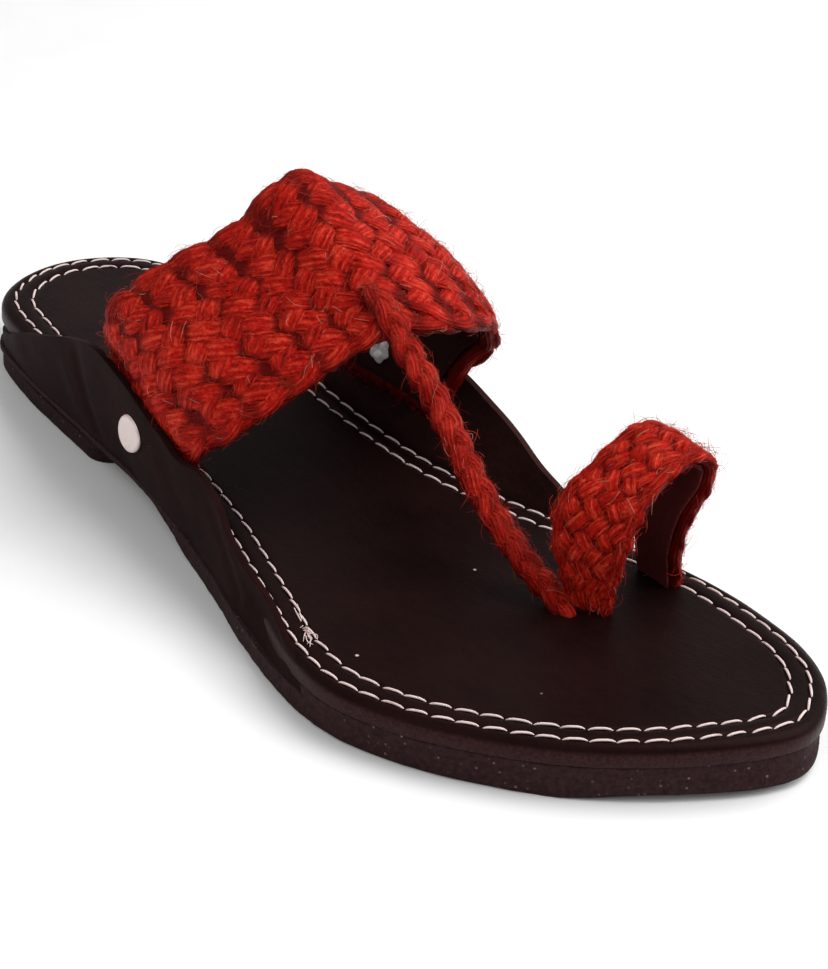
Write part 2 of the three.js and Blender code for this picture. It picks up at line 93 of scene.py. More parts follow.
def column(table: Sequence[Row], name: str, along: np.ndarray) -> np.ndarray:
    """Values of a named column along the shoe, on a smooth curve that does not overshoot its rows.

    Args:
        table: Rows sorted by their "along" entry.
        name: The column to read.
        along: Stations, in millimetres.

    Returns:
        The column's value at each station.
    """
    at = np.array([row["along"] for row in table])
    values = np.array([row[name] for row in table])
    place = np.clip(np.asarray(along, float), at[0], at[-1])
    upper = np.clip(np.searchsorted(at, place, side="right"), 1, len(at) - 1)
    share = (place - at[upper - 1]) / (at[upper] - at[upper - 1])
    steps, secants = np.diff(at), np.diff(values) / np.diff(at)
    slopes = np.concatenate([secants[:1], (secants[:-1] + secants[1:]) / 2, secants[-1:]])
    turning = np.concatenate([[False], secants[:-1] * secants[1:] <= 0, [False]])
    limit = 3 * np.minimum(np.abs(np.append(secants, secants[-1])), np.abs(np.insert(secants, 0, secants[0])))
    slopes = np.where(turning, 0.0, np.clip(slopes, -limit, limit))
    first, last, wide = slopes[upper - 1], slopes[upper], steps[upper - 1]
    rise = values[upper] - values[upper - 1]
    bend = 3 * rise - wide * (2 * first + last)
    twist = wide * (first + last) - 2 * rise
    square = share * share
    return values[upper - 1] + wide * first * share + bend * square + twist * square * share


def unit(vectors: np.ndarray) -> np.ndarray:
    """Vectors scaled to length one."""
    return vectors / np.maximum(np.linalg.norm(vectors, axis=-1, keepdims=True), 1e-12)


def run_of(path: np.ndarray) -> np.ndarray:
    """Distance run along a path to each of its points."""
    return np.concatenate([[0], np.cumsum(np.linalg.norm(np.diff(path, axis=0), axis=1))])


def read_at(at: np.ndarray, run: np.ndarray, points: np.ndarray) -> np.ndarray:
    """Points of a path at distances along it, when run is the distance to each of its points."""
    return np.stack([np.interp(at, run, points[:, k]) for k in range(3)], -1)


class Rail:
    """Centripetal curve through points, open or closed."""

    def __init__(self, points: Sequence[Sequence[float]], closed: bool = False) -> None:
        """Keeps the points that the curve passes, and whether the last leads back to the first."""
        self.points = np.asarray(points, float)
        self.closed = closed

    def at(self, share: np.ndarray) -> np.ndarray:
        """Points on the curve.

        Args:
            share: Places from 0 at the first point to 1 at the last, or round to the first.

        Returns:
            One point for each place.
        """
        pts, count = self.points, len(self.points)
        spans = count if self.closed else count - 1
        place = np.asarray(share, float) * spans
        if self.closed:
            place = place % spans
        start = np.clip(np.floor(place).astype(int), 0, spans - 1)
        weight = (place - start)[..., None]
        if self.closed:
            p0, p1, p2, p3 = (pts[(start + k) % count] for k in (-1, 0, 1, 2))
        else:
            padded = np.vstack([2 * pts[0] - pts[1], pts, 2 * pts[-1] - pts[-2]])
            p0, p1, p2, p3 = (padded[start + k] for k in (0, 1, 2, 3))
        d0, d1, d2 = (
            np.maximum(np.linalg.norm(b - a, axis=-1, keepdims=True) ** 0.5, 1e-6)
            for a, b in ((p0, p1), (p1, p2), (p2, p3))
        )
        # the two tangents, scaled to the span between p1 and p2
        t1 = ((p1 - p0) / d0 - (p2 - p0) / (d0 + d1) + (p2 - p1) / d1) * d1
        t2 = ((p2 - p1) / d1 - (p3 - p1) / (d1 + d2) + (p3 - p2) / d2) * d1
        square, cube = weight**2, weight**3
        return (
            p1
            + t1 * weight
            + (3 * (p2 - p1) - 2 * t1 - t2) * square
            + (2 * (p1 - p2) + t1 + t2) * cube
        )


@dataclass
class Ripple:
    """Smooth seeded noise on a line or a plane, about -1 to 1."""

    seed: int
    wavelength: float
    terms: int = 7

    def __call__(self, *axes: np.ndarray) -> np.ndarray:
        """Noise at places given by one array for each axis.

        Args:
            *axes: Coordinates, in the units of the wavelength.

        Returns:
            The noise at each place.
        """
        rng = np.random.default_rng(self.seed)
        total = np.zeros(np.broadcast(*axes).shape)
        for _ in range(self.terms):
            turn = rng.normal(size=len(axes))
            turn *= 2 * math.pi / (self.wavelength * rng.uniform(0.7, 1.6) * np.linalg.norm(turn))
            total = total + np.sin(sum(t * a for t, a in zip(turn, axes)) + rng.uniform(0, 2 * math.pi))
        return total / math.sqrt(self.terms)


# ---------------------------------------------------------------- the shoe's form


@dataclass
class ShoeForm:
    """Rim, levels and side tables that every sole piece and flap is worked out from, in bench millimetres."""

    footbed_thickness: float = 4.8
    forefoot_top: float = 11.8
    heel_top: float = 17.4
    rise: Tuple[float, float] = (72, 140)
    spring: Tuple[float, float, float] = (185, 250, 2.4)
    arch: Tuple[float, float, float] = (92, 118, 4.9)
    toe_bevel: Tuple[float, float, float] = (222, 238, 1.9)
    clearance: float = 0.3
    heel_tip: Tuple[float, float] = (1.2, 4.0)
    toe_tip: Tuple[float, float] = (248.2, 10.9)
    stations: Sequence[Row] = (
        {"along": 4, "medial": 15.6, "lateral": -8.2},
        {"along": 12, "medial": 25.3, "lateral": -17.9},
        {"along": 30, "medial": 30.2, "lateral": -23.5},
        {"along": 60, "medial": 25.1, "lateral": -27.7},
        {"along": 92, "medial": 20.9, "lateral": -31.6},
        {"along": 122, "medial": 22.1, "lateral": -36.7},
        {"along": 148, "medial": 26.5, "lateral": -45.5},
        {"along": 166, "medial": 30.9, "lateral": -52.0},
        {"along": 181, "medial": 34.9, "lateral": -53.9},
        {"along": 197, "medial": 36.9, "lateral": -49.4},
        {"along": 213, "medial": 35.8, "lateral": -40.1},
        {"along": 228, "medial": 32.4, "lateral": -27.6},
        {"along": 240, "medial": 24.9, "lateral": -11.2},
    )
    shift: np.ndarray = field(default_factory=lambda: np.zeros(3))

    def __post_init__(self) -> None:
        """Builds the rim's curve and its inverse along the shoe."""
        medial = [(row["along"], row["medial"], 0) for row in self.stations]
        lateral = [(row["along"], row["lateral"], 0) for row in reversed(self.stations)]
        self.rim_rail = Rail([(*self.heel_tip, 0), *medial, (*self.toe_tip, 0), *lateral], closed=True)
        dense = np.linspace(0, 1, 2001)
        self.inverse = {side: (self.rim(side, dense)[:, 0], dense) for side in Side}

    def rim(self, side: Side, share: np.ndarray) -> np.ndarray:
        """Rim points on one side, at shares from 0 at the heel tip to 1 at the toe tip."""
        half = np.asarray(share, float) / 2
        return self.rim_rail.at(half if side is Side.MEDIAL else (1 - half) % 1)

    def rim_normal(self, side: Side, share: np.ndarray) -> np.ndarray:
        """Outward unit normals of the rim in plan.

        Args:
            side: The side of the shoe.
            share: Places from 0 at the heel tip to 1 at the toe tip.

        Returns:
            One normal for each place.
        """
        share = np.asarray(share, float)
        run = self.rim(side, np.minimum(1, share + 1e-3)) - self.rim(side, np.maximum(0, share - 1e-3))
        out = np.stack([-side.value * run[..., 1], side.value * run[..., 0], np.zeros(share.shape)], -1)
        return unit(out)

    def share_at(self, side: Side, along: np.ndarray) -> np.ndarray:
        """Shares of the rim at which one side reaches stations along the shoe."""
        stations, shares = self.inverse[side]
        return np.interp(along, stations, shares)

    def top(self, along: np.ndarray) -> np.ndarray:
        """Height of the footbed's top.

        Args:
            along: Stations along the shoe.

        Returns:
            The height at each station.
        """
        start, end, lift = self.spring
        sprung = np.maximum(0, (along - start) / (end - start)) ** 2 * lift
        raised = (self.heel_top - self.forefoot_top) * (1 - smooth(*self.rise, along))
        return self.forefoot_top + raised + sprung

    def tread(self, along: np.ndarray) -> np.ndarray:
        """Height of the outsole's underside."""
        waist = self.arch[2] * (1 - smooth(*self.arch[:2], along))
        return waist + self.toe_bevel[2] * smooth(*self.toe_bevel[:2], along)

    def to_row(self, points: np.ndarray) -> np.ndarray:
        """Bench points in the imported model's frame, in metres."""
        return (np.asarray(points, float) + self.shift) * MM

    def settle(self, proud_outline: np.ndarray) -> None:
        """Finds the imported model's place from the outsole's outermost outline on the bench."""
        low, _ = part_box("outsole")
        self.shift[:2] = np.array(low)[:2] / MM - proud_outline.min(0)[:2]


FORM = ShoeForm()


@dataclass
class RimStops:
    """Stops once round the rim: heel tip, medial side out, toe tip, lateral side back."""

    per_side: int = 150

    def __post_init__(self) -> None:
        """Works out the point, normal and side of each stop."""
        out = np.arange(self.per_side + 1) / self.per_side
        back = out[-2:0:-1]
        self.points = np.vstack([FORM.rim(Side.MEDIAL, out), FORM.rim(Side.LATERAL, back)])
        self.normals = np.vstack([FORM.rim_normal(Side.MEDIAL, out), FORM.rim_normal(Side.LATERAL, back)])
        self.sides = [Side.MEDIAL] * len(out) + [Side.LATERAL] * len(back)
        self.along = self.points[:, 0]

    def ring(self, proud: np.ndarray, level: Level) -> np.ndarray:
        """A ring moved outwards from the rim.

        Args:
            proud: Outward distance, one number or one for each stop.
            level: Height as a function of the place along the shoe.

        Returns:
            One point for each stop.
        """
        ring = self.points + self.normals * np.broadcast_to(proud, self.along.shape)[:, None]
        ring[:, 2] = level(ring[:, 0])
        return ring

    def spine(self, ring: np.ndarray) -> np.ndarray:
        """The line half way between the two sides of a ring, in the order of its stops."""
        mirrored = np.vstack([ring[:1], ring[:0:-1]])
        return (ring + mirrored) / 2

    def fill(self, ring: np.ndarray, shares: Sequence[float], level: Level) -> List[np.ndarray]:
        """Rings from an outer ring in to the spine.

        Args:
            ring: The outer ring.
            shares: How far in each new ring is, the last being 1.
            level: Height as a function of the place along the shoe.

        Returns:
            The new rings.
        """
        spine, rings = self.spine(ring), []
        for share in shares:
            inner = ring + (spine - ring) * share
            inner[:, 2] = level(inner[:, 0])
            rings.append(inner)
        return rings


# ---------------------------------------------------------------- mesh making


def deselect() -> None:
    """Leaves edit mode if need be and clears the selection."""
    if bpy.context.object and bpy.context.object.mode != "OBJECT":
        bpy.ops.object.mode_set(mode="OBJECT")
    bpy.ops.object.select_all(action="DESELECT")


def activate(obj: bpy.types.Object) -> None:
    """Makes one object the only selected and active one.

    Args:
        obj: The object.
    """
    deselect()
    obj.select_set(True)
    bpy.context.view_layer.objects.active = obj


def draped_grid(
    name: str,
    points: np.ndarray,
    around: bool = False,
    ends: bool = False,
    uv: Optional[np.ndarray] = None,
    attributes: Optional[Dict[str, np.ndarray]] = None,
    closed_shell: bool = True,
) -> bpy.types.Object:
    """Lays a grid primitive over a table of points and welds what meets.

    Args:
        name: The piece's name.
        points: Rows by columns by 3, in bench millimetres.
        around: Whether the last column leads back to the first.
        ends: Whether the open ends are closed with a face each.
        uv: Rows by columns by 2, in millimetres; a ring's seam column is added.
        attributes: Named values at each point.
        closed_shell: Whether the result is a closed shell, whose faces are turned outwards.

    Returns:
        The new object.
    """
    rows, cols = points.shape[:2]

    def wrap(values: np.ndarray) -> np.ndarray:
        """Adds the seam's second column to a ring."""
        return np.concatenate([values, values[:, :1]], axis=1) if around else values

    table = wrap(points)
    deselect()
    bpy.ops.mesh.primitive_grid_add(x_subdivisions=table.shape[1] - 1, y_subdivisions=rows - 1, calc_uvs=True)
    obj = bpy.context.object
    obj.name = obj.data.name = name
    mesh = obj.data
    mesh.vertices.foreach_set("co", FORM.to_row(table).astype(np.float32).ravel())
    if uv is not None:
        corner = np.empty(len(mesh.loops), np.int32)
        mesh.loops.foreach_get("vertex_index", corner)
        if around:
            step = uv[:, -1:] + (uv[:, -1:] - uv[:, -2:-1])
            uv = np.concatenate([uv, step], axis=1)
        mesh.uv_layers.active.uv.foreach_set("vector", uv.reshape(-1, 2)[corner].astype(np.float32).ravel())
    for key, values in (attributes or {}).items():
        layer = mesh.attributes.new(key, "FLOAT", "POINT")
        layer.data.foreach_set("value", wrap(values).astype(np.float32).ravel())
    mesh.update()
    bpy.ops.object.mode_set(mode="EDIT")
    bpy.ops.mesh.select_all(action="SELECT")
    bpy.ops.mesh.remove_doubles(threshold=WELD)
    if ends:
        bpy.ops.mesh.fill_holes(sides=0)
    bpy.ops.mesh.select_all(action="SELECT")
    if closed_shell:
        bpy.ops.mesh.normals_make_consistent(inside=False)
    bpy.ops.object.mode_set(mode="OBJECT")
    bpy.ops.object.shade_smooth()
    return obj


def apply_modifier(obj: bpy.types.Object, kind: str, **settings: object) -> None:
    """Adds a modifier to an object and applies it.

    Args:
        obj: The object.
        kind: The modifier's type.
        **settings: The modifier's properties.
    """
    activate(obj)
    modifier = obj.modifiers.new(kind.title(), kind)
    for key, value in settings.items():
        setattr(modifier, key, value)
    bpy.ops.object.modifier_apply(modifier=modifier.name)


def join(name: str, parts: Sequence[bpy.types.Object]) -> bpy.types.Object:
    """Joins objects into one piece.

    Args:
        name: The piece's name.
        parts: The objects.

    Returns:
        The first of them, which now holds them all.
    """
    deselect()
    for part in parts:
        part.select_set(True)
    bpy.context.view_layer.objects.active = parts[0]
    if len(parts) > 1:
        bpy.ops.object.join()
    parts[0].name = parts[0].data.name = name
    return parts[0]


def copies(
    name: str, verts: np.ndarray, faces: Sequence[Tuple[int, ...]], tones: Optional[np.ndarray] = None
) -> bpy.types.Object:
    """Makes one mesh of many shapes that have the same faces.

    Args:
        name: The piece's name.
        verts: Shapes by points by 3, in bench millimetres.
        faces: The faces of one shape.
        tones: The tone of each shape.

    Returns:
        The new object.
    """
    number, count = verts.shape[:2]
    every = [tuple(v + k * count for v in face) for k in range(number) for face in faces]
    mesh = bpy.data.meshes.new(name)
    mesh.from_pydata(FORM.to_row(verts.reshape(-1, 3)).tolist(), [], every)
    if tones is not None:
        layer = mesh.attributes.new("tone", "FLOAT", "POINT")
        layer.data.foreach_set("value", np.repeat(tones, count).astype(np.float32))
    obj = bpy.data.objects.new(name, mesh)
    bpy.context.scene.collection.objects.link(obj)
    activate(obj)
    bpy.ops.object.shade_smooth()
    return obj


def many(name: str, template: bpy.types.Object, places: np.ndarray) -> bpy.types.Object:
    """Copies one modelled shape to many places as one joined mesh, and removes the template.

    Args:
        name: The piece's name.
        template: The shape, modelled in millimetres about its own origin.
        places: One 3 by 4 matrix for each copy, from the template to bench millimetres.

    Returns:
        The joined piece.
    """
    source = template.data
    base = np.empty(len(source.vertices) * 3, np.float32)
    source.vertices.foreach_get("co", base)
    faces = [tuple(face.vertices) for face in source.polygons]
    verts = np.einsum("nij,vj->nvi", places[:, :, :3], base.reshape(-1, 3)) + places[:, None, :, 3]
    bpy.data.objects.remove(template)
    return copies(name, verts, faces)


def dress(obj: bpy.types.Object, material: bpy.types.Material, slot: Slot, *stands_for: str) -> None:
    """Gives a finished piece its material and body, and hides the CAD nodes it stands for.

    Args:
        obj: The piece.
        material: Its finish.
        slot: Not used.
        *stands_for: CAD nodes that it replaces.
    """
    obj.data.materials.clear()
    obj.data.materials.append(material)
    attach(obj, "root")
    if stands_for:
        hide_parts(*stands_for)
    LOG.info("%s: %d faces", obj.name, len(obj.data.polygons))


# ---------------------------------------------------------------- finishes


def srgb(red: float, green: float, blue: float) -> Colour:
    """A colour given as display values.

    Args:
        red: Red, from 0 to 255.
        green: Green, from 0 to 255.
        blue: Blue, from 0 to 255.

    Returns:
        Linear red, green and blue, and full alpha.
    """

    def linear(value: float) -> float:
        """One channel as linear light."""
        value /= 255
        return value / 12.92 if value <= 0.04045 else ((value + 0.055) / 1.055) ** 2.4

    return linear(red), linear(green), linear(blue), 1.0


class Recipe:
    """A material's node tree while it is being put together."""

    def __init__(self, name: str) -> None:
        """Starts a material with one principled shader.

        Args:
            name: The material's name.
        """
        self.material = bpy.data.materials.new(name)
        self.material.use_nodes = True
        self.tree = self.material.node_tree
        self.shader = self.tree.nodes["Principled BSDF"]
        self.coords = self.tree.nodes.new("ShaderNodeTexCoord")

    def node(
        self, kind: str, inputs: Optional[Dict[str, object]] = None, **properties: object
    ) -> bpy.types.Node:
        """Adds a node.

        Args:
            kind: The node's type without its ShaderNode prefix.
            inputs: Sockets by name, each a number, a colour or a socket to link.
            **properties: The node's own properties.

        Returns:
            The node.
        """
        node = self.tree.nodes.new("ShaderNode" + kind)
        for key, value in properties.items():
            setattr(node, key, value)
        for key, value in (inputs or {}).items():
            self.feed(node.inputs[key], value)
        return node

    def feed(self, socket: Socket, value: object) -> None:
        """Links a socket or sets its value.

        Args:
            socket: The input to feed.
            value: An output to link, or a plain value.
        """
        if isinstance(value, Socket):
            self.tree.links.new(value, socket)
        else:
            socket.default_value = value

    def stretched(self, source: str, scale: Tuple[float, float, float]) -> Socket:
        """Coordinates scaled on each axis, from Object in metres or from UV in millimetres."""
        mapping = self.node("Mapping", {"Vector": self.coords.outputs[source], "Scale": scale})
        return mapping.outputs["Vector"]

    def noise(self, vector: Socket, scale: float, detail: float = 3.0, roughness: float = 0.55) -> Socket:
        """Noise from 0 to 1: a larger scale is finer, and detail counts its finer layers."""
        inputs = {"Vector": vector, "Scale": scale, "Detail": detail, "Roughness": roughness}
        return self.node("TexNoise", inputs).outputs["Fac"]

    def waves(self, vector: Socket, scale: float, distortion: float, direction: str = "X") -> Socket:
        """Wavy bands from 0 to 1 that follow each other along a direction."""
        inputs = {"Vector": vector, "Scale": scale, "Distortion": distortion, "Detail": 2.0}
        return self.node("TexWave", inputs, bands_direction=direction).outputs["Fac"]

    def cells(self, vector: Socket, scale: float) -> Tuple[Socket, Sequence[Socket]]:
        """Distance from the middle of each random cell, and the cell's three random numbers."""
        node = self.node("TexVoronoi", {"Vector": vector, "Scale": scale, "Randomness": 1.0})
        return node.outputs["Distance"], self.node("SeparateColor", {"Color": node.outputs["Color"]}).outputs

    def attribute(self, name: str) -> Socket:
        """A number that the piece carries at each point."""
        return self.node("Attribute", attribute_name=name).outputs["Fac"]

    def ramp(self, value: Socket, stops: Sequence[Tuple[float, Sequence[float]]]) -> Socket:
        """A colour ramp.

        Args:
            value: The number that drives it.
            stops: Position and colour of each stop.

        Returns:
            The colour.
        """
        node = self.node("ValToRGB", {"Fac": value})
        elements = node.color_ramp.elements
        while len(elements) < len(stops):
            elements.new(0.5)
        for element, (position, colour) in zip(elements, stops):
            element.position = position
            element.color = colour
        return node.outputs["Color"]

    def between(
        self, value: Socket, low: float, high: float, to_low: float = 0.0, to_high: float = 1.0
    ) -> Socket:
        """A number moved smoothly from the range low to high to the range to_low to to_high."""
        inputs = {"Value": value, "From Min": low, "From Max": high, "To Min": to_low, "To Max": to_high}
        return self.node("MapRange", inputs, interpolation_type="SMOOTHSTEP").outputs["Result"]

    def mix(self, share: object, first: object, second: object) -> Socket:
        """Two colours mixed.

        Args:
            share: How much of the second colour there is.
            first: The first colour.
            second: The second colour.

        Returns:
            The mixed colour.
        """
        node = self.node("Mix", data_type="RGBA")
        for index, value in ((0, share), (6, first), (7, second)):
            self.feed(node.inputs[index], value)
        return node.outputs[2]

    def maths(self, operation: str, first: object, second: object) -> Socket:
        """Two numbers combined.

        Args:
            operation: The Math node's operation.
            first: The first number.
            second: The second number.

        Returns:
            The result.
        """
        node = self.node("Math", operation=operation)
        self.feed(node.inputs[0], first)
        self.feed(node.inputs[1], second)
        return node.outputs[0]

    def total(self, *parts: Tuple[Socket, float]) -> Socket:
        """Numbers added up, each with its own weight."""
        terms = [self.maths("MULTIPLY", value, weight) for value, weight in parts]
        return reduce(lambda one, other: self.maths("ADD", one, other), terms)

    def bump(
        self, height: Socket, strength: float, distance: float, under: Optional[Socket] = None
    ) -> Socket:
        """A bump normal.

        Args:
            height: The height, 0 to 1.
            strength: How strongly it shows.
            distance: The height of 1, in millimetres.
            under: A bump that this one lies on.

        Returns:
            The normal.
        """
        inputs = {"Height": height, "Strength": strength, "Distance": distance * MM}
        if under is not None:
            inputs["Normal"] = under
        return self.node("Bump", inputs).outputs["Normal"]

    def finish(self, **inputs: object) -> bpy.types.Material:
        """Feeds the shader's sockets.

        Args:
            **inputs: Outputs or plain values, named as their sockets, with _ for spaces.

        Returns:
            The finished material.
        """
        for key, value in inputs.items():
            self.feed(self.shader.inputs[key.replace("_", " ")], value)
        return self.material


@dataclass(frozen=True)
class Suede:
    """Dark napped suede with faint clouding and a few specks of lint."""

    name: str
    deep: Colour = srgb(18, 7, 7)
    light: Colour = srgb(37, 19, 18)
    lint: Colour = srgb(205, 190, 186)
    lint_size: float = 0.05
    specular: float = 0.03
    roughness: float = 0.6
    wall_deep: Colour = srgb(40, 22, 23)
    wall: Optional[Colour] = None

    def build(self) -> bpy.types.Material:
        """Makes the material.

        Returns:
            The material.
        """
        r = Recipe(self.name)
        place = r.coords.outputs["Object"]
        cloud = r.noise(place, 38, 4, 0.6)
        nap = r.noise(place, 1500, 3, 0.7)
        brushed = r.noise(r.stretched("Object", (160, 520, 320)), 1.0, 3, 0.6)
        tone = r.total((cloud, 0.55), (brushed, 0.25), (nap, 0.3))
        base = r.ramp(tone, [(0.36, self.deep), (0.72, self.light)])
        distance, chance = r.cells(place, 95.0)
        near = r.between(distance, self.lint_size, self.lint_size * 0.4)
        base = r.mix(r.maths("MULTIPLY", r.between(chance[0], 0.80, 0.81), near), base, self.lint)
        if self.wall is not None:
            upright = r.node("SeparateXYZ", {"Vector": r.coords.outputs["Normal"]}).outputs["Z"]
            rough = r.mix(r.between(nap, 0.3, 0.75), self.wall_deep, self.wall)
            base = r.mix(r.between(upright, 0.6, 0.1), base, rough)
        normal = r.bump(nap, 0.45, 0.18, r.bump(brushed, 0.3, 0.35))
        return r.finish(
            Base_Color=base,
            Roughness=self.roughness,
            Specular_IOR_Level=self.specular,
            Specular_Tint=srgb(240, 180, 175),
            Normal=normal,
        )


@dataclass(frozen=True)
class Foam:
    """Cut foam rubber with pale crumbs in it and small open pores."""

    name: str
    deep: Colour = srgb(33, 18, 19)
    light: Colour = srgb(57, 35, 36)
    crumb: Colour = srgb(116, 90, 90)

    def build(self) -> bpy.types.Material:
        """Makes the material.

        Returns:
            The material.
        """
        r = Recipe(self.name)
        place = r.coords.outputs["Object"]
        grain = r.noise(place, 900, 4, 0.7)
        base = r.ramp(grain, [(0.34, self.deep), (0.7, self.light)])
        fine, chance = r.cells(place, 1100.0)
        speck = r.maths("MULTIPLY", r.between(chance[0], 0.92, 0.94), r.between(fine, 0.42, 0.2))
        base = r.mix(r.maths("MULTIPLY", speck, chance[1]), base, self.crumb)
        coarse, rare = r.cells(place, 420.0)
        spot = r.maths("MULTIPLY", r.between(rare[0], 0.94, 0.95), r.between(coarse, 0.16, 0.06))
        base = r.mix(spot, base, self.crumb)
        pores = r.between(fine, 0.0, 0.5)
        normal = r.bump(pores, 0.35, 0.25, r.bump(grain, 0.5, 0.3))
        return r.finish(Base_Color=base, Roughness=0.7, Specular_IOR_Level=0.08, Normal=normal)


@dataclass(frozen=True)
class Jute:
    """Dyed jute bundles: streaks of fibres along each strand, with painted shade where a strand dives under
    another and on its underside.
    """

    name: str
    dark: Colour = srgb(88, 5, 4)
    middle: Colour = srgb(178, 22, 14)
    bright: Colour = srgb(236, 80, 56)
    # colour of the painted shade where a strand dives under another
    dive_shade: Colour = srgb(92, 8, 7)

    def build(self) -> bpy.types.Material:
        """Makes the material, which reads the strand's own UV, and its tone and depth.

        Returns:
            The material.
        """
        r = Recipe(self.name)
        streak = r.noise(r.stretched("UV", (2.3, 0.2, 1)), 1.0, 5, 0.72)
        hair = r.noise(r.stretched("UV", (5.5, 0.55, 1)), 1.0, 3, 0.65)
        patch = r.noise(r.coords.outputs["Object"], 210, 3, 0.6)
        fleck = r.noise(r.coords.outputs["Object"], 1300, 2, 0.6)
        yarns = r.waves(r.stretched("UV", (1, 0.1, 1)), 0.34, 2.4)
        tone = r.total((streak, 0.42), (hair, 0.22), (patch, 0.18), (fleck, 0.18), (yarns, 0.055))
        tone = r.maths("ADD", tone, r.attribute("tone"))
        base = r.ramp(tone, [(0.415, self.dark), (0.54, self.middle), (0.68, self.bright)])
        # painted shade: darker towards this colour where the strand's depth says it dives under another, and on
        # its underside
        base = r.mix(r.between(r.attribute("depth"), 0.7, 0.1), base, self.dive_shade)
        height = r.total((streak, 0.5), (hair, 0.3), (fleck, 0.3))
        return r.finish(
            Base_Color=base,
            Roughness=0.5,
            Specular_IOR_Level=0.18,
            Specular_Tint=srgb(255, 130, 110),
            Sheen_Weight=0.03,
            Sheen_Roughness=0.35,
            Sheen_Tint=srgb(230, 70, 45),
            Normal=r.bump(yarns, 0.9, 0.24, r.bump(height, 1.0, 0.7)),
        )


@dataclass(frozen=True)
class LooseFibre:
    """Single fibres, most of them dyed and a few pale."""

    name: str
    dyed: Colour = srgb(128, 16, 11)
    bright: Colour = srgb(206, 62, 40)
    pale: Colour = srgb(224, 176, 156)

    def build(self) -> bpy.types.Material:
        """Makes the material, which reads the tone of each fibre.

        Returns:
            The material.
        """
        r = Recipe(self.name)
        tone = r.attribute("tone")
        base = r.ramp(tone, [(0.0, self.dyed), (0.8, self.bright), (0.965, self.bright), (0.975, self.pale)])
        mottle = r.noise(r.coords.outputs["Object"], 900, 2)
        base = r.mix(r.maths("MULTIPLY", mottle, 0.35), base, self.dyed)
        return r.finish(Base_Color=base, Roughness=0.5, Specular_IOR_Level=0.15)


@dataclass(frozen=True)
class Lining:
    """Thin dark cloth glued inside the woven straps."""

    name: str
    warp: Colour = srgb(34, 12, 12)
    weft: Colour = srgb(70, 26, 24)

    def build(self) -> bpy.types.Material:
        """Makes the material.

        Returns:
            The material.
        """
        r = Recipe(self.name)
        place = r.coords.outputs["Object"]
        threads = r.waves(place, 900.0, 2.0)
        fuzz = r.noise(place, 700, 4, 0.7)
        base = r.mix(r.maths("MULTIPLY", threads, fuzz), self.warp, self.weft)
        normal = r.bump(fuzz, 0.5, 0.2, r.bump(threads, 0.3, 0.15))
        return r.finish(Base_Color=base, Roughness=0.95, Specular_IOR_Level=0.15, Normal=normal)


@dataclass(frozen=True)
class Thread:
    """Pale waxed sewing thread with a fine twist."""

    name: str
    pale: Colour = srgb(236, 212, 208)
    soiled: Colour = srgb(160, 132, 128)

    def build(self) -> bpy.types.Material:
        """Makes the material.

        Returns:
            The material.
        """
        r = Recipe(self.name)
        place = r.coords.outputs["Object"]
        wear = r.noise(place, 160, 4, 0.7)
        twist = r.waves(place, 1500.0, 1.5, "DIAGONAL")
        base = r.mix(r.between(wear, 0.52, 0.78), self.pale, self.soiled)
        normal = r.bump(twist, 0.5, 0.12)
        return r.finish(Base_Color=base, Roughness=0.6, Specular_IOR_Level=0.4, Normal=normal)


@dataclass(frozen=True)
class CapMetal:
    """Pale pinkish enamel over a pressed metal cap."""

    name: str
    colour: Colour = srgb(236, 218, 214)
    worn: Colour = srgb(196, 172, 168)
    metallic: float = 0.25
    roughness: float = 0.38

    def build(self) -> bpy.types.Material:
        """Makes the material.

        Returns:
            The material.
        """
        r = Recipe(self.name)
        place = r.coords.outputs["Object"]
        wear = r.noise(place, 420, 4, 0.65)
        base = r.mix(r.between(wear, 0.5, 0.8), self.colour, self.worn)
        scratches = r.noise(r.stretched("Object", (300, 300, 2600)), 1.0, 2)
        return r.finish(
            Base_Color=base,
            Metallic=self.metallic,
            Roughness=r.between(scratches, 0.2, 0.8, self.roughness - 0.06, self.roughness + 0.1),
            Normal=r.bump(scratches, 0.15, 0.05),
        )


@dataclass(frozen=True)
class StudioFloor:
    """Matt white paper."""

    name: str = "studio_paper"
    white: Colour = (0.94, 0.94, 0.94, 1.0)
    shade: Colour = (0.90, 0.90, 0.90, 1.0)

    def build(self) -> bpy.types.Material:
        """Makes the material.

        Returns:
            The material.
        """
        r = Recipe(self.name)
        grain = r.noise(r.coords.outputs["Object"], 60, 3)
        base = r.mix(grain, self.white, self.shade)
        return r.finish(Base_Color=base, Roughness=0.9, Specular_IOR_Level=0.1)


# ---------------------------------------------------------------- sole


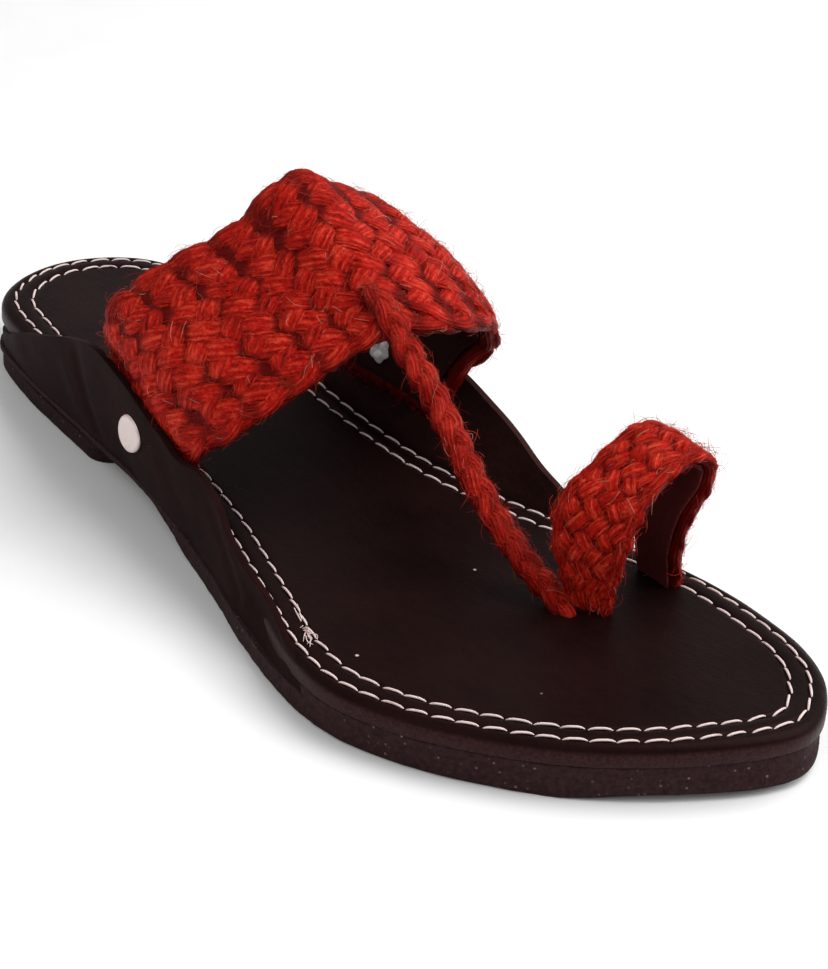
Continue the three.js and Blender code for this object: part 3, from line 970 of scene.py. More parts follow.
@dataclass
class Sole:
    """Footbed, outsole and heel lift."""

    per_side: int = 260
    stitch_rows: Tuple[float, float] = (2.3, 6.4)
    channel_depth: float = 0.38
    channel_width: float = 0.62
    bead_at: float = 4.4
    bead_width: float = 1.2
    bead_height: float = 0.12
    footbed_round: Tuple[float, float] = (2.1, 2.5)
    footbed_bulge: float = 0.45
    footbed_under_round: float = 0.2
    flat_from: float = 8.4
    line_gap: float = 0.24
    board_wavelength: float = 46
    board_wave: float = 0.10
    glue_gap: float = 0.06
    outsole_sides: Sequence[Row] = (
        {"along": 0, "medial": 0.9, "lateral": 0.9},
        {"along": 80, "medial": 1.2, "lateral": 1.3},
        {"along": 100, "medial": 1.4, "lateral": 2.2},
        {"along": 115, "medial": 1.6, "lateral": 3.0},
        {"along": 128, "medial": 1.6, "lateral": 3.4},
        {"along": 140, "medial": 1.4, "lateral": 3.4},
        {"along": 154, "medial": 1.2, "lateral": 2.6},
        {"along": 168, "medial": 1.0, "lateral": 1.0},
        {"along": 185, "medial": 0.8, "lateral": 0.3},
        {"along": 225, "medial": 0.5, "lateral": 0.3},
        {"along": 250, "medial": 0.5, "lateral": 0.5},
    )
    toe_fuller: float = 0.85
    toe_fuller_medial: Tuple[float, float] = (188, 212)
    toe_fuller_lateral: Tuple[float, float] = (16, 1)
    heel_fuller: float = 0.7
    heel_fuller_until: Tuple[float, float] = (12, 44)
    fuller_reach: float = 2.0
    toe_tuck: float = 0.4
    toe_tuck_span: Tuple[float, float] = (205, 235)
    rebate: float = 1.6
    corner_inset: float = 0.35
    corner_height: float = 0.45
    cut_roughness: float = 0.13
    heel_breast: float = 69.0
    heel_corner: float = 6.0
    heel_proud: float = 0.9
    heel_roughness: float = 0.06
    heel_profile: Sequence[Tuple[float, float]] = (
        (-6, 0),
        (-0.7, 0),
        (-0.25, 0.12),
        (0, 0.45),
        (0, 1.8),
        (0, 3.2),
        (0, 4.4),
        (-0.15, 4.6),
        (-6, 4.6),
    )

    def __post_init__(self) -> None:
        """Works out the rim stops and the outsole's outline, which is fuller round the toe and the heel."""
        self.stops = RimStops(self.per_side)
        along = self.stops.along
        medial = np.array([side is Side.MEDIAL for side in self.stops.sides])
        self.bench_line = np.where(
            medial,
            column(self.outsole_sides, "medial", along),
            column(self.outsole_sides, "lateral", along),
        )
        start, full = (along.max() - back for back in self.toe_fuller_lateral)
        toe = np.where(medial, smooth(*self.toe_fuller_medial, along), smooth(start, full, along))
        heel = 1 - smooth(*self.heel_fuller_until, along)
        self.fuller = self.toe_fuller * toe + self.heel_fuller * heel
        self.proud = self.bench_line + self.fuller

    def outline(self) -> np.ndarray:
        """The outsole's outermost outline, in bench millimetres."""
        return self.stops.ring(self.bench_line, np.zeros_like)

    def drop(self, inset: float) -> float:
        """How far the footbed's top lies under its flat level.

        Args:
            inset: Distance in from the rim.

        Returns:
            The distance down.
        """
        wide, tall = self.footbed_round[0] + self.footbed_bulge, self.footbed_round[1]
        reach = min(1.0, max(0.0, (self.footbed_round[0] - inset) / wide))
        edge = tall * (1 - math.sqrt(1 - reach**2))
        channels = sum(math.exp(-(((inset - row) / self.channel_width) ** 2)) for row in self.stitch_rows)
        bead = self.bead_height * math.exp(-(((inset - self.bead_at) / self.bead_width) ** 2))
        return edge + self.channel_depth * channels - bead

    def footbed(self) -> bpy.types.Object:
        """Board wrapped in suede, with a rounded rim and a shallow channel under each row of stitches.

        Returns:
            The piece.
        """
        top, thick, round_under = FORM.top, FORM.footbed_thickness, self.footbed_under_round
        under = self.stops.ring(-self.flat_from, lambda x: top(x) - thick)
        rings = self.stops.fill(under, (0.5, 1.0), lambda x: top(x) - thick)[::-1] + [under]
        for angle in np.radians((0, 30, 60, 90)):
            inset, lift = round_under * (1 - math.sin(angle)), round_under * (1 - math.cos(angle))
            out = self.footbed_bulge * (0.2 + 0.8 * math.sin(angle)) - inset
            rings.append(self.stops.ring(out + self.fuller, lambda x, up=lift: top(x) - thick + up))
        wide = self.footbed_round[0] + self.footbed_bulge
        around = np.radians(np.linspace(90, 6, 13))
        insets = [wide * (1 - math.sin(angle)) - self.footbed_bulge for angle in around]
        insets += [*np.arange(self.footbed_round[0], self.flat_from + 0.01, self.line_gap)]
        for inset in insets:
            spread = self.fuller * max(0.0, 1 - max(0.0, inset) / self.fuller_reach)
            rings.append(self.stops.ring(-inset + spread, lambda x, down=self.drop(inset): top(x) - down))
        rings += self.stops.fill(rings[-1], (0.15, 0.3, 0.45, 0.6, 0.75, 0.88, 1.0), top)
        points = np.array(rings)
        # the rings run from the underside's middle, round the rim, to the top's middle, where the board waves
        inner = smooth(6.0, 14.0, np.linspace(0, 30, len(points)))[:, None] * self.board_wave
        points[:, :, 2] += inner * Ripple(3, self.board_wavelength)(points[:, :, 0], points[:, :, 1])
        return draped_grid("footbed_suede", points, around=True)

    def outsole(self, flaps: Sequence["SideFlap"]) -> bpy.types.Object:
        """Foam sole with a flat tread, arched waist, cut sides and a rebate behind each flap.

        Args:
            flaps: The side flaps glued against it.

        Returns:
            The piece.
        """
        stops, tread, corner = self.stops, FORM.tread, self.corner_height
        ledge, cover = np.zeros(len(stops.along)), np.zeros(len(stops.along))
        for flap in flaps:
            mine = np.array([side is flap.side for side in stops.sides])
            first, last = flap.rows[0]["along"], flap.rows[-1]["along"]
            ledge[mine] = column(flap.rows, "low", stops.along[mine]) - FORM.clearance
            fade = smooth(first + 0.5, first + 5, stops.along) * (1 - smooth(last - 9, last - 2, stops.along))
            cover[mine] = fade[mine]
        rough_wide, rough_fine = Ripple(11, 6.5), Ripple(12, 1.9)

        def under(along: np.ndarray) -> np.ndarray:
            """Height of the foam's top, just below the footbed."""
            return FORM.top(along) - FORM.footbed_thickness - self.glue_gap

        def cut(proud: np.ndarray, height: Level, amount: float) -> np.ndarray:
            """A ring of the cut side, roughened along its normals.

            Args:
                proud: How far it stands out from the rim.
                height: Gives its height along the shoe.
                amount: How rough it is.

            Returns:
                The ring's points.
            """
            ring = stops.ring(proud, height)
            place = (ring[:, 0], ring[:, 1], ring[:, 2] * 2.2)
            wobble = amount * (0.6 * rough_wide(*place) + 0.4 * rough_fine(*place))
            return ring + stops.normals * wobble[:, None]

        inner = stops.ring(-8, tread)
        rings = stops.fill(inner, (0.5, 1.0), tread)[::-1] + [inner]
        rings.append(cut(self.proud - 0.9, tread, 0.0))
        rings.append(cut(self.proud - self.corner_inset, lambda x: tread(x) + 0.12, 0.05))
        # the open wall leans in towards its top and is cut back under the toe
        open_side = 1 - cover
        draft = np.clip(self.proud - self.corner_inset, 0, None) * open_side
        toe_tuck = self.toe_tuck * open_side * smooth(*self.toe_tuck_span, stops.along)
        for share in np.linspace(0, 1, 9):
            out = self.proud - draft * share**1.5 - toe_tuck * (1 - share)
            level = lambda x, s=share: (tread(x) + corner) * (1 - s) + s * ledge
            rings.append(cut(out, level, self.cut_roughness))
        # behind a flap the wall steps back by the rebate
        behind = self.proud + (-self.rebate - self.proud) * cover - draft
        for share in np.linspace(0, 1, 5):
            level = lambda x, s=share: (ledge + 0.03) * (1 - s) + s * (under(x) - 0.25)
            rings.append(cut(behind, level, 0.1))
        rings += [cut(behind - 0.1, under, 0.03), stops.ring(-8, under)]
        rings += stops.fill(rings[-1], (0.5, 1.0), under)
        return draped_grid("outsole_foam", np.array(rings), around=True)

    def heel_lift(self) -> bpy.types.Object:
        """Low block with the heel's outline, cut straight at the breast with rounded corners.

        Returns:
            The piece.
        """
        steps = np.sin(np.pi / 2 * np.arange(0, 91) / 90)
        outline, normals, tucks = [], [], []
        for side, order in ((Side.MEDIAL, steps), (Side.LATERAL, steps[:0:-1])):
            share = FORM.share_at(side, self.heel_breast) * order
            points = FORM.rim(side, share)
            past = np.clip(1 - (self.heel_breast - points[:, 0]) / self.heel_corner, 0, 1)
            outline.append(points)
            normals.append(FORM.rim_normal(side, share))
            tucks.append(self.heel_corner * (1 - np.sqrt(1 - past**2)))
        points, normal, tuck = np.vstack(outline), np.vstack(normals), np.concatenate(tucks)
        rough = Ripple(21, 5.0)
        rings = []
        for proud, height in self.heel_profile:
            ring = points + normal * (self.heel_proud + proud - tuck)[:, None]
            bumps = rough(ring[:, 0], ring[:, 1], np.full(len(ring), height * 2.0))
            ring = ring + normal * (self.heel_roughness * bumps)[:, None]
            ring[:, 2] = height
            rings.append(ring)
        centre = points.mean(0)
        for index in (0, -1):
            flat = np.tile(centre, (len(points), 1))
            flat[:, 2] = rings[index][0, 2]
            rings.insert(0 if index == 0 else len(rings), flat)
        return draped_grid("heel_lift_rubber", np.array(rings), around=True)

    def build(self, flaps: Sequence["SideFlap"]) -> None:
        """Builds and dresses the three pieces.

        Args:
            flaps: The side flaps glued against the outsole.
        """
        suede = Suede(
            "footbed_suede",
            deep=srgb(14, 5, 5),
            light=srgb(29, 14, 13),
            specular=0.07,
            roughness=0.42,
            wall=srgb(58, 37, 38),
        )
        dress(self.footbed(), suede.build(), Slot.SUEDE, "footbed")
        dress(self.outsole(flaps), Foam("outsole_foam").build(), Slot.FOAM, "outsole")
        lift = Foam("heel_lift_rubber", srgb(28, 14, 15), srgb(46, 27, 28), srgb(100, 78, 78))
        dress(self.heel_lift(), lift.build(), Slot.LIFT, "heel_lift")


@dataclass
class Stitching:
    """Two rows of lockstitches round the footbed, with the thread's tail on the outer side of the ball."""

    sole: Sole
    pitch: float = 5.25
    length: float = 5.15
    width: float = 0.55
    height: float = 0.5
    slant: float = 6.5
    rise: float = 0.24
    arch: float = 0.16
    dive: float = 0.62
    tail_at: Place = (163.0, -45.6, 12.1)
    tail_threads: int = 13
    tail_radius: Tuple[float, float] = (0.13, 0.05)

    def stitch(self) -> bpy.types.Object:
        """One stitch, full in the middle and drawn down into its holes.

        Returns:
            The stitch, to be copied.
        """
        deselect()
        bpy.ops.mesh.primitive_uv_sphere_add(segments=8, ring_count=8, radius=0.5)
        obj = bpy.context.object
        for vertex in obj.data.vertices:
            x, y, z = vertex.co
            along, full = z * 2, math.sqrt(max(0.0, 1 - (z * 2) ** 4))
            girth = full / max(math.hypot(x, y) * 2, 1e-6) if abs(z) < 0.499 else 0.0
            sag = self.arch - self.dive * abs(along) ** 3.4
            wide, tall = x * girth * self.width, y * girth * self.height
            vertex.co = Vector((along / 2 * self.length, wide, tall + sag))
        return obj

    def row(self, inset: float, seed: int) -> np.ndarray:
        """Places of the stitches of one row.

        Args:
            inset: Distance in from the rim.
            seed: Seed of the small unevenness.

        Returns:
            A 3 by 4 matrix for each stitch.
        """
        line = RimStops(900).ring(-inset, FORM.top)
        line[:, 2] -= self.sole.drop(inset) - self.rise
        loop = np.vstack([line, line[:1]])
        run = run_of(loop)
        count = round(run[-1] / self.pitch)
        rng = np.random.default_rng(seed)
        at = (np.arange(count) + rng.normal(0, 0.035, count)) * run[-1] / count % run[-1]
        here = read_at(at, run, loop)
        tangent = unit(read_at((at + 0.6) % run[-1], run, loop) - here)
        up = np.tile((0.0, 0.0, 1.0), (count, 1))
        across = unit(np.cross(up, tangent))
        turn = np.radians(rng.normal(self.slant, 2.5, count))[:, None]
        along = tangent * np.cos(turn) + across * np.sin(turn)
        across = np.cross(up, along)
        stretch = rng.normal(1, 0.04, (count, 1))
        return np.stack([along * stretch, across, np.cross(along, across), here], axis=2)

    def tail(self) -> bpy.types.Object:
        """The loose ends of the thread, knotted into a small tuft.

        Returns:
            The piece.
        """
        rng = np.random.default_rng(41)
        start = np.array(self.tail_at)
        strands = []
        for index in range(self.tail_threads):
            run = rng.uniform(-7.5, 7.0)
            away = np.array((run, -0.42 * run + rng.normal(0, 0.8), rng.uniform(0.0, 0.5)))
            root = start + np.array((run * 0.4, -0.17 * run, 0)) + rng.normal(0, 0.35, 3) * (1, 1, 0.2)
            bend = np.array((rng.normal(0, 0.55), rng.normal(0, 0.55), rng.uniform(0.4, 1.0)))
            middle = root + away * 0.5 + bend
            path = Rail([root, middle, start + away]).at(np.linspace(0, 1, 18))
            path[:, 2] = np.maximum(path[:, 2], FORM.top(path[:, 0]) + 0.05)
            strands.append(tube(f"tail_{index}", path, np.linspace(*self.tail_radius, 18), 8))
        return join("thread_tail", strands)

    def build(self) -> None:
        """Builds and dresses both rows and the tail."""
        thread = Thread("sewing_thread").build()
        names = ("stitches_outer", "stitches_inner")
        for name, inset, seed in zip(names, self.sole.stitch_rows, (5, 6)):
            places = self.row(inset, seed)
            dress(many(name, self.stitch(), places), thread, Slot.SUEDE)
        dress(self.tail(), thread, Slot.SUEDE)


def tube(name: str, path: np.ndarray, radius: np.ndarray, sides: int) -> bpy.types.Object:
    """A round tube along a path.

    Args:
        name: The piece's name.
        path: Its centre line, in bench millimetres.
        radius: Its radius at each point.
        sides: How many sides it has.

    Returns:
        The piece.
    """
    run = unit(np.gradient(path, axis=0))
    # any direction that no path runs along does
    across = unit(np.cross(run, (0.11, 0.23, 0.97)))
    up = np.cross(across, run)
    angle = 2 * np.pi * np.arange(sides) / sides
    ring = across[:, None] * np.cos(angle)[None, :, None] + up[:, None] * np.sin(angle)[None, :, None]
    return draped_grid(name, path[:, None] + ring * np.asarray(radius)[:, None, None], around=True, ends=True)


# ---------------------------------------------------------------- side flaps


@dataclass(frozen=True)
class Crease:
    """A soft trough, or with a negative depth a ridge, between two places on a flap's face."""

    start: Tuple[float, float]
    end: Tuple[float, float]
    width: float
    depth: float

    def at(self, along: np.ndarray, height: np.ndarray) -> np.ndarray:
        """Depth of the crease at places on the flap.

        Args:
            along: Stations along the shoe.
            height: Heights above the floor.

        Returns:
            How far each place lies behind the smooth face.
        """
        a, b = np.array(self.start), np.array(self.end)
        line = b - a
        share = np.clip(((along - a[0]) * line[0] + (height - a[1]) * line[1]) / line.dot(line), 0, 1)
        distance = np.hypot(along - a[0] - share * line[0], height - a[1] - share * line[1])
        fade = np.sqrt(np.maximum(0, 1 - (2 * share - 1) ** 4))
        return self.depth * np.exp(-((distance / self.width) ** 2)) * (0.35 + 0.65 * fade)


@dataclass
class SideFlap:
    """Suede flap glued against the outsole, passing the footbed's rim and standing up beside the foot."""

    name: str
    side: Side
    node: str
    rows: Sequence[Row]
    creases: Sequence[Crease]
    suede: Suede
    thickness: float = 1.5
    edge_round: float = 0.6
    edge_wave: float = 0.1
    face_wave: float = 0.12
    steps: Tuple[int, int] = (210, 34)
    seed: int = 1

    def face(self, along: np.ndarray, share: np.ndarray) -> np.ndarray:
        """Points of the outer face.

        Args:
            along: Stations along the shoe.
            share: Places from 0 at the bottom edge to 1 at the top edge.

        Returns:
            One point for each pair.
        """
        low, top, base, flare = (column(self.rows, name, along) for name in ("low", "top", "base", "flare"))
        first, last = self.rows[0]["along"], self.rows[-1]["along"]
        wave = self.edge_wave * Ripple(self.seed, 26)(along) * smooth(first, first + 30, along)
        top = top + wave * (1 - smooth(last - 20, last, along))
        knee = low + 0.45 * (top - low)
        a, b, c = (1 - share) ** 2, 2 * share * (1 - share), share**2
        height = a * low + b * knee + c * top
        out = a * base + (b + c) * flare
        dent = sum((crease.at(along, height) for crease in self.creases), np.zeros(np.shape(height)))
        dent = dent + self.face_wave * Ripple(self.seed + 50, 15)(along, height * 1.4) * share
        rim_share = FORM.share_at(self.side, along)
        outward = FORM.rim_normal(self.side, rim_share)
        point = FORM.rim(self.side, rim_share) + outward * (out - dent)[..., None]
        point[..., 2] = height
        return point

    def build(self) -> None:
        """Builds and dresses the flap: its outer face, given a wall and softened edges."""
        span = np.linspace(self.rows[0]["along"], self.rows[-1]["along"], self.steps[0])
        share = np.linspace(0, 1, self.steps[1])
        along, up = np.meshgrid(span, share, indexing="ij")
        face = self.face(along, up)
        obj = draped_grid(self.name, face, closed_shell=False)
        normal = obj.data.polygons[len(obj.data.polygons) // 2].normal
        outward = FORM.rim_normal(self.side, FORM.share_at(self.side, np.array([100.0])))[0]
        if normal.dot(Vector(outward)) < 0:
            activate(obj)
            bpy.ops.object.mode_set(mode="EDIT")
            bpy.ops.mesh.select_all(action="SELECT")
            bpy.ops.mesh.flip_normals()
            bpy.ops.object.mode_set(mode="OBJECT")
        apply_modifier(obj, "SOLIDIFY", thickness=self.thickness * MM, offset=-1.0, use_rim=True)
        limit = {"limit_method": "ANGLE", "angle_limit": math.radians(50), "harden_normals": False}
        apply_modifier(obj, "BEVEL", width=self.edge_round * MM, segments=4, **limit)
        dress(obj, self.suede.build(), Slot.SUEDE, self.node)


LATERAL_FLAP = SideFlap(
    "flap_lateral_suede",
    Side.LATERAL,
    "flap_lateral",
    (
        {"along": 9, "low": 6.9, "top": 8.6, "base": 0.9, "flare": 0.8},
        {"along": 20, "low": 6.9, "top": 12.3, "base": 1.0, "flare": 1.6},
        {"along": 29, "low": 6.9, "top": 17.0, "base": 1.0, "flare": 3.0},
        {"along": 39, "low": 6.9, "top": 21.4, "base": 1.0, "flare": 3.4},
        {"along": 48, "low": 6.9, "top": 25.4, "base": 1.0, "flare": 3.8},
        {"along": 60, "low": 6.9, "top": 30.0, "base": 1.0, "flare": 4.2},
        {"along": 74, "low": 6.9, "top": 34.0, "base": 1.0, "flare": 5.2},
        {"along": 83, "low": 6.9, "top": 33.0, "base": 1.1, "flare": 5.5},
        {"along": 93, "low": 6.8, "top": 30.8, "base": 2.1, "flare": 5.6},
        {"along": 104, "low": 6.4, "top": 27.2, "base": 2.5, "flare": 5.5},
        {"along": 113, "low": 5.6, "top": 25.2, "base": 2.6, "flare": 5.2},
        {"along": 121, "low": 5.2, "top": 26.2, "base": 3.0, "flare": 4.5},
        {"along": 129, "low": 5.2, "top": 23.4, "base": 3.1, "flare": 3.6},
        {"along": 136, "low": 5.2, "top": 19.0, "base": 3.1, "flare": 2.8},
        {"along": 142, "low": 5.2, "top": 16.8, "base": 2.9, "flare": 2.0},
        {"along": 148, "low": 5.2, "top": 15.4, "base": 2.4, "flare": 1.0},
        {"along": 154, "low": 5.2, "top": 14.0, "base": 1.9, "flare": 0.0},
        {"along": 160, "low": 5.2, "top": 12.7, "base": 1.3, "flare": -0.3},
        {"along": 167, "low": 5.2, "top": 11.5, "base": 0.9, "flare": 0.3},
        {"along": 176, "low": 5.2, "top": 9.6, "base": 0.1, "flare": 0.1},
    ),
    (
        Crease((63, 29), (70, 9), 2.4, 0.7),
        Crease((56, 24), (62, 11), 2.6, -0.3),
        Crease((127, 21), (144, 8), 2.0, 0.45),
        Crease((133, 19), (147, 8), 1.8, -0.25),
        Crease((104, 24), (116, 10), 3.4, 0.3),
    ),
    Suede("flap_lateral_suede", lint_size=0.03),
)

MEDIAL_FLAP = SideFlap(
    "flap_medial_suede",
    Side.MEDIAL,
    "flap_medial",
    (
        {"along": 9, "low": 6.9, "top": 8.6, "base": 0.9, "flare": 0.8},
        {"along": 20, "low": 6.9, "top": 12.3, "base": 1.0, "flare": 1.6},
        {"along": 32, "low": 6.9, "top": 18.5, "base": 1.0, "flare": 3.4},
        {"along": 46, "low": 6.9, "top": 24.5, "base": 1.0, "flare": 5.0},
        {"along": 62, "low": 6.9, "top": 30.5, "base": 1.0, "flare": 7.0},
        {"along": 80, "low": 6.9, "top": 34.4, "base": 1.2, "flare": 9.8},
        {"along": 98, "low": 6.9, "top": 34.4, "base": 1.6, "flare": 11.0},
        {"along": 114, "low": 5.6, "top": 32.8, "base": 1.8, "flare": 10.2},
        {"along": 125, "low": 5.2, "top": 31.5, "base": 1.8, "flare": 8.9},
        {"along": 137, "low": 5.2, "top": 27.1, "base": 1.8, "flare": 7.4},
        {"along": 145, "low": 5.2, "top": 23.0, "base": 1.6, "flare": 6.2},
        {"along": 153, "low": 5.2, "top": 18.6, "base": 1.6, "flare": 4.6},
        {"along": 160, "low": 5.2, "top": 15.2, "base": 1.5, "flare": 3.4},
        {"along": 167, "low": 5.2, "top": 10.0, "base": 1.4, "flare": 2.6},
        {"along": 174, "low": 5.2, "top": 6.2, "base": 1.2, "flare": 1.4},
    ),
    (
        Crease((66, 28), (58, 10), 3.0, 0.6),
        Crease((134, 19), (146, 8), 2.6, 0.3),
        Crease((84, 30), (80, 12), 3.4, -0.3),
        Crease((118, 28), (112, 10), 3.0, 0.3),
    ),
    # a lighter copy of the lateral flap's suede: painted light on its shaded inner face
    Suede("flap_medial_suede", srgb(30, 15, 15), srgb(58, 35, 33), lint_size=0.03),
    seed=2,
)


# ---------------------------------------------------------------- woven upper


@dataclass
class Strap:
    """The outer face of a flat strap, from the two edges that its rows give."""

    rows: Sequence[Dict[str, object]]
    crown: float
    wall: Optional[float] = None
    samples: int = 1600

    def __post_init__(self) -> None:
        """Samples both edges densely and measures along the middle."""
        share = np.linspace(0, 1, self.samples)
        self.rear = Rail([row["rear"] for row in self.rows]).at(share)
        self.front = Rail([row["front"] for row in self.rows]).at(share)
        middle = (self.rear + self.front) / 2
        self.run = run_of(middle)
        self.length = float(self.run[-1])
        tangent = unit(np.gradient(middle, axis=0))
        self.across = unit(self.front - self.rear)
        self.normal = -unit(np.cross(tangent, self.across))
        self.widths = np.linalg.norm(self.front - self.rear, axis=1)
        self.walls = self.sampled("thickness", self.wall, share)
        self.crowns = self.sampled("crown", self.crown, share)

    def sampled(self, name: str, usual: Optional[float], share: np.ndarray) -> np.ndarray:
        """A number of the rows at shares of the strap, or its usual value where a row has none."""
        values = [row.get(name, usual) for row in self.rows]
        return np.interp(share, np.linspace(0, 1, len(values)), values)

    def read(self, table: np.ndarray, along: np.ndarray) -> np.ndarray:
        """A sampled table of numbers or of points at distances along the strap."""
        return np.interp(along, self.run, table) if table.ndim == 1 else read_at(along, self.run, table)

    def place(self, along: np.ndarray, share: np.ndarray, depth: np.ndarray) -> np.ndarray:
        """Points of the strap.

        Args:
            along: Distance along it.
            share: Place across it, 0 at the rear edge and 1 at the front edge.
            depth: Distance inwards from the outer face.

        Returns:
            One point for each place.
        """
        share = np.asarray(share, float)[..., None]
        depth = np.asarray(depth, float)[..., None]
        line = self.read(self.rear, along) * (1 - share) + self.read(self.front, along) * share
        crown = self.read(self.crowns, along)[..., None]
        return line + self.read(self.normal, along) * (crown * 4 * share * (1 - share) - depth)


@dataclass
class Bundle:
    """One strand of fibres: its path, the way its outside faces, its size and how deep it lies."""

    path: np.ndarray
    facing: np.ndarray
    half_width: np.ndarray
    half_height: np.ndarray
    depth: np.ndarray
    seed: int
    lump: float = 0.06
    fine_plies: Tuple[int, float] = (9, 0.05)
    coarse_plies: Tuple[int, float] = (5, 0.035)
    squareness: float = 0.8

    def axes(self) -> Tuple[np.ndarray, np.ndarray, np.ndarray]:
        """The strand's own directions at each point of its path.

        Returns:
            Unit vectors along, across and out of the strand.
        """
        along = unit(np.gradient(self.path, axis=0))
        across = unit(np.cross(along, self.facing))
        return along, across, np.cross(across, along)

    def surface(self, angles: np.ndarray) -> Tuple[np.ndarray, np.ndarray]:
        """The strand's lumpy surface.

        Args:
            angles: Angles round it, one for each column.

        Returns:
            Rows by columns of points, and the distance run to each row.
        """
        _, across, out = self.axes()
        run = run_of(self.path)
        rng = np.random.default_rng(self.seed)
        turn, place = np.meshgrid(angles, run)
        lump = Ripple(self.seed + 7, 5.5)(place, np.cos(turn) * 2.0, np.sin(turn) * 2.0) * self.lump
        twist = rng.choice((-1, 1)) * 2 * np.pi * place / rng.uniform(15, 24)
        wander = 0.5 * Ripple(self.seed + 5, 6)(place)
        (fine, fine_depth), (coarse, coarse_depth) = self.fine_plies, self.coarse_plies
        plies = fine_depth * np.cos(fine * (turn + wander) + rng.uniform(0, 6))
        plies = plies + coarse_depth * np.cos(coarse * (turn + twist) + rng.uniform(0, 6))
        swell = (1 + lump + plies)[..., None]
        circle = (np.cos(turn), np.sin(turn))
        wide, tall = (np.sign(part) * np.abs(part) ** self.squareness for part in circle)
        wide, tall = wide * self.half_width[:, None], tall * self.half_height[:, None]
        section = across[:, None] * wide[..., None] + out[:, None] * tall[..., None]
        return self.path[:, None] + section * swell, run

    def mesh(self, name: str, sides: int) -> bpy.types.Object:
        """The strand as a closed tube with its own UV in millimetres, tone and depth.

        Args:
            name: The mesh's name.
            sides: How many sides it has.

        Returns:
            The new object.
        """
        angles = 2 * np.pi * np.arange(sides) / sides
        points, run = self.surface(angles)
        rng = np.random.default_rng(self.seed + 99)
        girth = np.pi * (float(self.half_width.mean()) + float(self.half_height.mean()))
        uv = np.empty(points.shape[:2] + (2,))
        uv[..., 0] = angles / (2 * np.pi) * girth + self.seed * 37.0
        uv[..., 1] = run[:, None] + rng.uniform(0, 400)
        shade = rng.normal(0, 0.01) + 0.02 * Ripple(self.seed + 3, 11)(run)
        tone = np.broadcast_to(shade[:, None], points.shape[:2])
        # painted shade: its underside is darker, as if it lay deeper
        under = 0.7 * np.clip(0.4 - np.sin(angles), 0, 1) ** 1.2
        depth = np.clip(self.depth[:, None] - under[None], 0, 1)
        attributes = {"tone": tone, "depth": depth}
        return draped_grid(name, points, around=True, ends=True, uv=uv, attributes=attributes)


@dataclass
class FlatPlait:
    """A flat plait of strands, each over one and under one, that turn back at the strap's edges."""

    name: str
    strap: Strap
    strands: int
    pitch: float
    half_width: float
    half_height: float
    lift: float
    margin: float
    corner: float = 0.985
    wander: float = 0.2
    unevenness: float = 0.1
    sides: int = 20
    step: float = 0.8
    seed: int = 100

    def bundles(self) -> List[Bundle]:
        """Lays the strands over and under each other across the strap.

        Returns:
            The plait's strands.
        """
        strap, read = self.strap, self.strap.read
        along = np.arange(0.0, strap.length, self.step)
        period = self.strands * self.pitch
        width = read(strap.widths, along)
        full = read(strap.walls, along) / strap.walls.max()
        squeeze = width / width.max()
        edge = self.margin / width
        middle = (self.lift + self.half_height + 0.15) * full
        bundles = []
        for index in range(self.strands):
            seed = self.seed + 11 * index
            phase = 2 * np.pi * (along / period + index / self.strands)
            # a triangle wave with soft corners carries the strand from edge to edge
            turn = np.arcsin(self.corner * np.sin(phase)) / math.asin(self.corner)
            wander = self.wander * Ripple(seed, 15)(along) / width
            share = edge + (1 - 2 * edge) * (0.5 + 0.5 * turn) + wander
            heading = np.cos(phase) / np.sqrt(np.cos(phase) ** 2 + 0.03)
            over = np.cos(np.pi * self.strands * (0.5 + 0.5 * turn)) * heading
            uneven = self.unevenness * Ripple(seed + 1, 9)(along)
            path = strap.place(along, share, middle - self.lift * full * over + uneven)
            swell = 1 + 0.07 * Ripple(seed + 2, 8)(along) + 0.05 * over
            bundles.append(
                Bundle(
                    path,
                    read(strap.normal, along),
                    self.half_width * swell * (0.35 + 0.65 * squeeze),
                    self.half_height * (2 - swell) * full,
                    # how far over the crossing strand it lies; the jute paints shade from it where it dives
                    0.5 + 0.5 * over,
                    seed,
                )
            )
        return bundles

    def build(self) -> Tuple[bpy.types.Object, List[Bundle]]:
        """Builds the plait.

        Returns:
            The joined plait and its strands.
        """
        bundles = self.bundles()
        parts = [bundle.mesh(f"{self.name}_{k}", self.sides) for k, bundle in enumerate(bundles)]
        return join(self.name, parts), bundles


